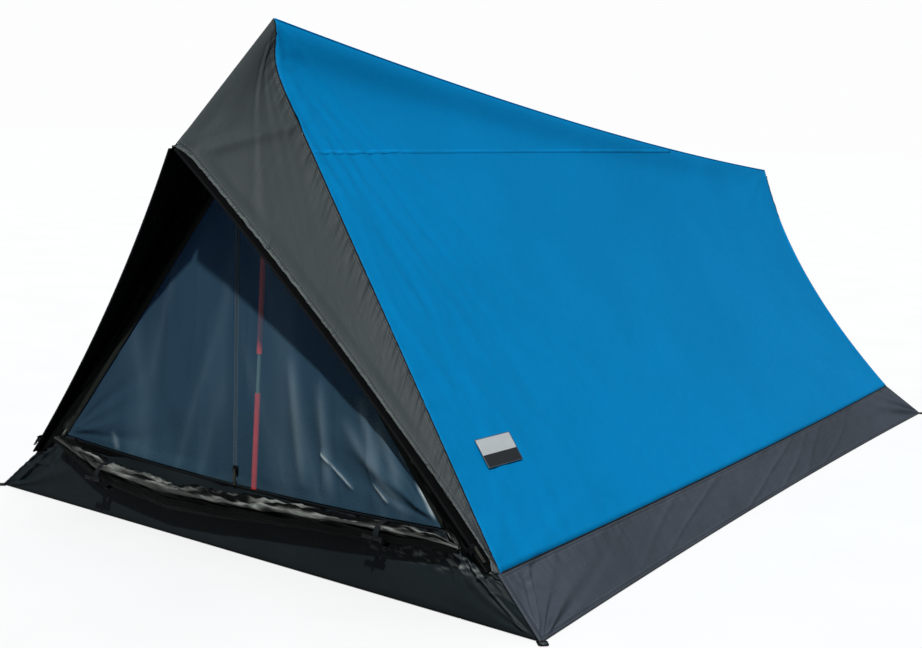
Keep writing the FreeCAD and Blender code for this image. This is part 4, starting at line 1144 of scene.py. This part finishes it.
def stroke(x, z, start, end, width):
    """How near each place on the mesh is to a short straight fold, from 0 to 1."""
    start, end = np.array(start), np.array(end)
    line = end - start
    share = ((x - start[0]) * line[0] + (z - start[1]) * line[1]) / (line @ line)
    held = np.clip(share, 0, 1)
    away = np.hypot(x - start[0] - line[0] * held, z - start[1] - line[1] * held)
    taper = smooth(-0.15, 0.25, share) * smooth(1.15, 0.75, share)
    return np.exp(-(away / width) ** 2) * taper


# folds pulled into the right leaf, with painted highlights along them, in the plane of the door: x
# and z of both ends
SHARP_FOLDS = [((0.187, 0.197), (0.206, 0.183)), ((0.206, 0.183), (0.251, 0.151)),
               ((0.292, 0.166), (0.322, 0.143))]
EDGE_FOLDS = [((0.338, 0.226), (0.366, 0.196)), ((0.356, 0.212), (0.392, 0.160)),
              ((0.372, 0.184), (0.408, 0.136))]
SOFT_FOLDS = [((0.180, 0.300), (0.206, 0.128)), ((0.262, 0.290), (0.300, 0.190)),
              ((0.232, 0.250), (0.356, 0.128)), ((0.120, 0.330), (0.150, 0.140)),
              ((0.300, 0.260), (0.345, 0.170))]
LEFT_FOLD = ((0.300, 0.150), (0.286, 0.120))
# how much painted highlight each kind puts on the net, how wide its line is, how far and how wide
# it lifts
FOLD_KINDS = [(SHARP_FOLDS, 0.75, 0.0017, 0.003, 0.006), (EDGE_FOLDS, 1.0, 0.0026, 0.004, 0.006),
              (SOFT_FOLDS, 0.16, 0.010, 0.004, 0.014)]
MESH_FANS = [((DOOR_BASE_X, DOOR_BASE_Z), 2.45, 0.55, 12, 0.0040, 0.26, 3, 0.016)]
MESH_INNER = 0.0030


def make_mesh_doors():
    """Two leaves of insect mesh that meet at the middle zip."""
    r, a = grid((0, 1, 230), (0, 1, 150))
    level = DOOR_BASE_Z + (DOOR_APEX_Z - 0.008 - DOOR_BASE_Z) * r
    outer = np.maximum(mesh_edge_x(level) - 0.0012, MESH_INNER + 0.0006)
    x = MESH_INNER + (outer - MESH_INNER) * a
    z = level - sill_sag(x) * (1 - r) ** 2
    flat = np.stack([x, z], -1)
    from_zip = smooth(0, 0.1, a)
    broken = 0.65 + 0.35 * noise(x * 60, z * 60, 281)
    for (side, sign, _flip), seed in zip(SIDES, (241, 261)):
        wave = 0.0035 * fbm(x * 4 + 2, z * 3, seed) * inset(a, 0.2, 0.15)
        wave += 0.0012 * crease(x * 16 + 1.3 * z, z * 2.2, seed + 2) * from_zip
        fan = fans(flat, seed, MESH_FANS)
        # fold holds painted highlights: how much the net is whitened along its creases and folds
        fold = 0.06 * crease(x * 9 + z * 2, z * 1.6, seed + 4) * from_zip
        if side == "left":
            fold = fold + 0.25 * stroke(x, z, *LEFT_FOLD, 0.006)
        else:
            # each kind paints highlight lines into fold and lifts the net along them
            for folds, painted_highlight, width, rise, reach in FOLD_KINDS:
                shine = painted_highlight * broken if folds is EDGE_FOLDS else painted_highlight
                for start, end in folds:
                    fold = fold + shine * stroke(x, z, start, end, width)
                    fan += rise * stroke(x, z, start, end, reach)
        wave += fan * smooth(0, 0.05, 1 - a)
        fade = inset(r, 0.05, 0.04) * smooth(0, 0.08, a)
        obj = cloth_sheet(f"mesh_net_{side}", xyz(x * sign, DOOR_Y - wave * fade, z),
                          (0, -1.0, 0), net, thickness=NET, uv=flat, body=f"mesh_door_{side}",
                          values={"fold": np.clip(fold, 0, 1)})
        dress(obj, "mesh", f"mesh_door_{side}")


DOOR_ZIP_AHEAD = 0.0095
DOOR_TAPE_WIDTH = 0.0205
ZIP_PITCH = 0.0021
TOOTH_LENGTH = 0.0013


def zip_pieces(name, line, inward, normal, width, body="shell", tooth=0.0026, cloth=tape,
               coil=teeth):
    """A woven tape with a row of moulded teeth along its free edge, for one CAD zip."""
    inward = np.broadcast_to(inward, line.shape)
    normal = np.broadcast_to(normal, line.shape)
    dress(ribbon(f"{name}_tape", line - unit(inward) * (width / 2 + 0.0006), inward, normal,
                 width, 0.0009, cloth, body), "zip_tape")
    steps = travelled(line)
    at = np.arange(0.001, steps[-1], ZIP_PITCH)
    centres, inwards, normals = (
        np.stack([np.interp(at, steps, values[:, axis]) for axis in range(3)], -1)
        for values in (line, inward, normal))
    inwards, normals = unit(inwards), unit(normals)
    row = blocks(f"{name}_teeth", centres, np.cross(inwards, normals), inwards, normals,
                 (TOOTH_LENGTH, tooth, tooth), coil, body)
    dress(row, "zip_tape", name)


def make_zips():
    share = np.linspace(0.008, 0.992, 160)
    for side, _sign, flip in SIDES:
        zip_pieces(f"door_zip_{side}", flip(arc.point(share, DOOR_ZIP_AHEAD)),
                   flip(arc.inward(share)), flip(arc.out), DOOR_TAPE_WIDTH)
    z = np.linspace(DOOR_BASE_Z + 0.001 - SILL_SAG, DOOR_APEX_Z - 0.026, 60)
    for side, sign, _flip in SIDES:
        zip_pieces(f"mesh_zip_{side}", xyz(0.0014 * sign, DOOR_Y, z), (-sign, 0, 0), (0, -1, 0),
                   0.0026, f"mesh_door_{side}", tooth=0.0016, cloth=mesh_tape, coil=mesh_teeth)
    x = np.linspace(0.010 - DOOR_BASE_X, DOOR_BASE_X - 0.010, 80)
    line = xyz(x, DOOR_Y, SILL_TOP_Z + 0.0028 - sill_sag(x))
    zip_pieces("sill_zip", line, (0, 0, 1), (0, -1, 0), 0.010)


# ---------------------------------------------------------------- rolled door

ROLL_TURNS = 2.45
ROLL_START = 0.55
ROLL_HIGHEST = 0.128


def averaged(values):
    """A running mean over nine places."""
    return np.convolve(np.pad(values, 4, mode="edge"), np.ones(9) / 9, "valid")


def make_roll():
    """The outer door rolled down on the sill: one sheet wound two and a half times."""
    stations = np.array(ROLL_STATIONS)
    x = np.linspace(stations[0, 0] - 0.004, stations[-1, 0] + 0.004, 560)
    middle = averaged(np.interp(x, stations[:, 0], stations[:, 1]))[:, None]
    radius = averaged(np.interp(x, stations[:, 0], stations[:, 2]))[:, None]
    x, turn = np.meshgrid(x, np.linspace(0, ROLL_TURNS, 300), indexing="ij")
    angle = turn * 2 * math.pi + ROLL_START
    up, front = np.sin(angle), np.cos(angle)
    # the cloth lies crumpled on top of the roll and is pulled smooth underneath
    loose = 0.12 + 0.88 * smooth(-0.25, 0.65, up)
    crumple = 0.30 * fbm(x * 7 + 1.0 * front, up * 1.2 + front * 0.9, 301, 2)
    crumple += 0.42 * (0.6 - np.abs(noise(x * 9 + 1.6 * up + front, front * 1.4 + 2, 305)) * 2)
    crumple += 0.22 * (0.6 - np.abs(noise(x * 21 - 2 * front, up * 1.8 + front, 309)) * 2)
    crumple += 0.03 * noise(x * 55 + up, front * 3 + 5, 311)
    pinch = sum(np.exp(-((x - place) / 0.012) ** 2) for place in TIE_PLACES)
    size = radius * (1 - 0.24 * turn) * (1 + crumple * loose * (1 - 0.25 * pinch))
    size = size * (1 - 0.12 * pinch)
    # the free end of the cloth stands up off the roll
    edge = smooth(0.09, 0.0, turn)
    size = size * (1 + edge * (0.25 + 0.30 * noise(x * 11, x * 0, 321)))
    size = np.clip(size, 0.0008, radius * 1.45)
    y = np.clip(ROLL_Y - front * size * 0.95, ROLL_Y - 0.034, DOOR_Y - 0.0040)
    points = xyz(x, y, np.minimum(middle + up * size, ROLL_HIGHEST))
    # painted highlights on the roll's crumpled top and its free edge, where the cloth faces up
    patches = smooth(-0.05, 0.75, fbm(x * 12 + 1.4 * front, up * 1.6 - front, 341, 4))
    painted_highlights = loose * smooth(0.30, 0.80, up) * np.clip(patches + 0.3 * edge, 0, 1)
    obj = cloth_sheet("door_roll_cloth", points, (0, 0, 1.0), roll_cloth, thickness=NET,
                      uv=np.stack([x, lengths(points, 1)], -1), values={"ridge": painted_highlights})
    dress(obj, "door_cloth", "rolled_door")


# ---------------------------------------------------------------- floor, tabs, loops, label


def make_groundsheet():
    a, c = grid((0, 1, 110), (-1, 1, 61))
    edge = ground_edge(a)
    x, y = (edge[..., 0] - 0.0003) * c, edge[..., 1] * 0.9995
    wave = 0.0035 * np.abs(fbm(x * 4, y * 3, 401)) + 0.0030 * crease(x * 3, y * 4, 405)
    fade = smooth(0, 0.10, 1 - np.abs(c)) * inset(a, 0.04, 0.04)
    obj = cloth_sheet("groundsheet_cloth", xyz(x, y, FLOOR_TOP + wave * fade), (0, 0, 1.0),
                      floor_in, thickness=0.0010)
    dress(obj, "floor_cloth", "groundsheet")


GUY_WEB_WIDTH = 0.010
GUY_WEB_THICKNESS = 0.0014


def make_guy_web(end):
    """A short piece of webbing folded into a loop and sewn at its top."""
    low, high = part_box(f"{end}_guy_loop")
    drop = high.z - low.z
    radius = drop * 0.24
    top = np.array([0, (low.y + high.y) / 2, high.z])
    centre = top - np.array([0, 0, drop - radius])
    neck = centre + radius * np.array([0, -0.046, 1.0])
    apart = np.array([0, GUY_WEB_THICKNESS * 0.55, 0])
    down = np.linspace(top - apart, neck - apart, 8)
    angle = np.linspace(math.pi * 0.62, math.pi * 2.38, 34)
    loop = centre + radius * xyz(0, np.cos(angle), np.sin(angle))
    line = np.concatenate([down[:-1], loop, down[-2::-1] + apart * 2])
    tangent = unit(np.gradient(line, axis=0))
    web = ribbon(f"{end}_guy_web", line, (1.0, 0, 0), np.cross(tangent, (1.0, 0, 0)),
                 GUY_WEB_WIDTH, GUY_WEB_THICKNESS, webbing)
    dress(web, "webbing", f"{end}_guy_loop")


TAB_HALF_WIDTH = 0.0078
TAB_BACK = 0.0042
TAB_LENGTH = 0.0172
TAB_HOLE = 0.0065
TAB_HOLE_RADIUS = 0.0040


def make_peg_tabs():
    """A tongue of webbing with a rounded end and a hole at each corner of the floor."""
    r, a = grid((0, 1, 28), (-1, 1, 25))
    reach = TAB_LENGTH * r - TAB_BACK
    rounded = np.sqrt(np.clip(1 - ((r - 0.75) / 0.31) ** 2, 0.05, 1))
    aside_by = TAB_HALF_WIDTH * np.where(r > 0.75, rounded, 1) * a
    for end, corner, turn in (("front", FRONT_CORNER, -1), ("rear", REAR_CORNER, 1)):
        for side, sign, _flip in SIDES:
            angle = math.radians(45) * turn
            out = np.array([math.cos(angle) * sign, math.sin(angle), 0])
            aside = np.array([-out[1], out[0], 0])
            place = np.array([corner[0] * sign, corner[1], 0.0007])
            points = place + out * col(reach) + aside * col(aside_by)
            points = points + along_z(0.0002 * noise(reach * 900, a * 3, 421) + 0.0007)
            middle = (points[:-1, :-1] + points[1:, 1:]) / 2
            from_hole = np.linalg.norm((middle - place - out * TAB_HOLE)[..., :2], axis=-1)
            obj = cloth_sheet(f"peg_web_{end}_{side}", points, (0, 0, 1.0), webbing,
                              thickness=0.0012, uv=np.stack([reach, aside_by], -1),
                              keep_faces=from_hole > TAB_HOLE_RADIUS)
            dress(obj, "webbing", f"peg_tab_{end}_{side}")


def make_label():
    along, down = LABEL_PLACE
    long, high = LABEL_SIZE
    step = 0.01
    u, v = grid((-0.5, 0.5, 36), (-0.5, 0.5, 24))
    x_axis = unit(roof_point(along + step, down) - roof_point(along - step, down))
    slope = roof_point(along, down - step) - roof_point(along, down + step)
    z_axis = unit(np.cross(x_axis, slope))
    y_axis = np.cross(z_axis, x_axis)
    lift = 0.0022 + 0.0004 * fbm(u * 3, v * 3, 431)
    points = (roof_point(along, down) + x_axis * col(u * long) + y_axis * col(v * high)
              + z_axis * col(lift))
    uv = np.stack([(u + 0.5) * long, (v + 0.5) * high], -1)
    obj = cloth_sheet("side_label_cloth", points, z_axis, label_cloth, thickness=0.0006, uv=uv)
    dress(obj, "label_cloth", "side_label")


def paint_nodes():
    """Every CAD node that stays in view gets its own surface, and softer edges."""
    wanted = {
        "front_pole_middle": pole_paint, "corner_eyelets": eyelet_metal,
        "front_spigot_lower": spigot_metal, "front_spigot_upper": spigot_metal,
        "rear_spigot": spigot_metal, "mesh_zip_pull": pull_plastic,
        "mesh_zip_slider": slider_paint, "sill_zip_slider": slider_paint,
    }
    for end in ("front", "rear"):
        wanted.update({
            f"{end}_pole_lower": pole_paint, f"{end}_pole_upper": pole_paint,
            f"{end}_pole_tip": pole_plastic, f"{end}_pole_foot": pole_plastic,
            f"{end}_pole_seat": patch, f"{end}_peak_cup": patch,
        })
    for side in ("left", "right"):
        wanted.update({
            f"toggle_{side}": toggle_plastic, f"roll_tie_{side}": loop_cord,
            f"door_zip_slider_{side}": slider_paint, f"door_zip_pull_{side}": pull_plastic,
        })
    for name, material in wanted.items():
        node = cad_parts[name]
        if node.material_slots:
            for slot in node.material_slots:
                slot.material = material
        else:
            node.data.materials.append(material)
        rounded = node.modifiers.new("rounded", "BEVEL")
        rounded.width = 0.0003
        rounded.segments = 2
        rounded.limit_method = "ANGLE"


# ---------------------------------------------------------------- stage, light and camera

SUN_TO = Vector((0.39, -0.55, 0.74))
CAMERA_PLACE = (1.60392, -2.57733, 0.712071)
CAMERA_AZIMUTH = 0.633108
CAMERA_ELEVATION = 0.145276
CAMERA_ROLL = 0.0350701
CAMERA_LENS = 55.20
STAGE_RADIUS = 40.0
SUN_STRENGTH = 3.0
WORLD_STRENGTH = 0.20
BACKDROP = (0.985, 0.985, 0.99, 1)
FLOOR_LIFT = 0.19


def unseen_by(obj, *rays):
    for ray in rays:
        setattr(obj, "visible_" + ray, False)


def make_stage():
    floor = Nodes("floor_matte")
    spots = floor.noise(floor.place(), 4.0, 4.0)
    shade = floor.mix(floor.ramp(spots, 0.3, 0.7), [0.88, 0.88, 0.88, 1], [0.90, 0.90, 0.90, 1])
    matte = floor.add("ShaderNodeBsdfDiffuse", {"Color": shade}).outputs[0]
    lift = floor.add("ShaderNodeEmission", {"Color": [1, 1, 1, 1], "Strength": FLOOR_LIFT})
    both = floor.add("ShaderNodeAddShader", {0: matte, 1: lift.outputs[0]})
    bpy.ops.mesh.primitive_circle_add(vertices=96, radius=STAGE_RADIUS, fill_type="NGON")
    ground = bpy.context.object
    ground.name = "stage_floor"
    ground.location.z = -0.0008
    ground.data.materials.append(floor.out(both.outputs[0]))
    unseen_by(ground, "diffuse", "glossy")

    glow = Nodes("backdrop_white")
    light = glow.add("ShaderNodeEmission", {"Color": BACKDROP, "Strength": 1.0})
    bpy.ops.mesh.primitive_uv_sphere_add(segments=48, ring_count=24, radius=STAGE_RADIUS * 0.98)
    dome = bpy.context.object
    dome.name = "stage_backdrop"
    dome.data.materials.append(glow.out(light.outputs[0]))
    unseen_by(dome, "diffuse", "glossy", "transmission", "volume_scatter", "shadow")


def make_light():
    world = bpy.data.worlds.new("studio")
    bpy.context.scene.world = world
    world.use_nodes = True
    background = world.node_tree.nodes["Background"]
    background.inputs["Color"].default_value = (0.94, 0.97, 1.0, 1)
    background.inputs["Strength"].default_value = WORLD_STRENGTH

    sun = bpy.data.lights.new("key", "SUN")
    sun.energy = SUN_STRENGTH
    sun.angle = math.radians(2)
    key = bpy.data.objects.new("key", sun)
    key.rotation_euler = SUN_TO.to_track_quat("Z", "Y").to_euler()
    bpy.context.scene.collection.objects.link(key)


def make_camera():
    azimuth, elevation = CAMERA_AZIMUTH, CAMERA_ELEVATION
    back = Vector((math.sin(azimuth) * math.cos(elevation),
                   -math.cos(azimuth) * math.cos(elevation), math.sin(elevation)))
    right = (-back).cross(Vector((0, 0, 1))).normalized()
    up = right.cross(-back)
    cosine, sine = math.cos(CAMERA_ROLL), math.sin(CAMERA_ROLL)
    turn = Matrix((right * cosine + up * sine, up * cosine - right * sine, back)).transposed()
    data = bpy.data.cameras.new("camera")
    data.lens = CAMERA_LENS
    data.sensor_width = 36
    camera = bpy.data.objects.new("camera", data)
    camera.matrix_world = Matrix.Translation(Vector(CAMERA_PLACE)) @ turn.to_4x4()
    bpy.context.scene.collection.objects.link(camera)
    bpy.context.scene.camera = camera
    bpy.context.scene.view_settings.view_transform = "Standard"
    bpy.context.scene.view_settings.look = "None"


make_groundsheet()
make_roof()
make_roof_seams()
make_awning()
make_awning_trim()
make_side_walls()
make_front_sill()
make_rear_wall()
make_gable()
make_vent()
make_borders()
make_mesh_doors()
make_zips()
make_roll()
make_peg_tabs()
make_guy_web("front")
make_guy_web("rear")
make_label()
paint_nodes()
make_stage()
make_light()
make_camera()
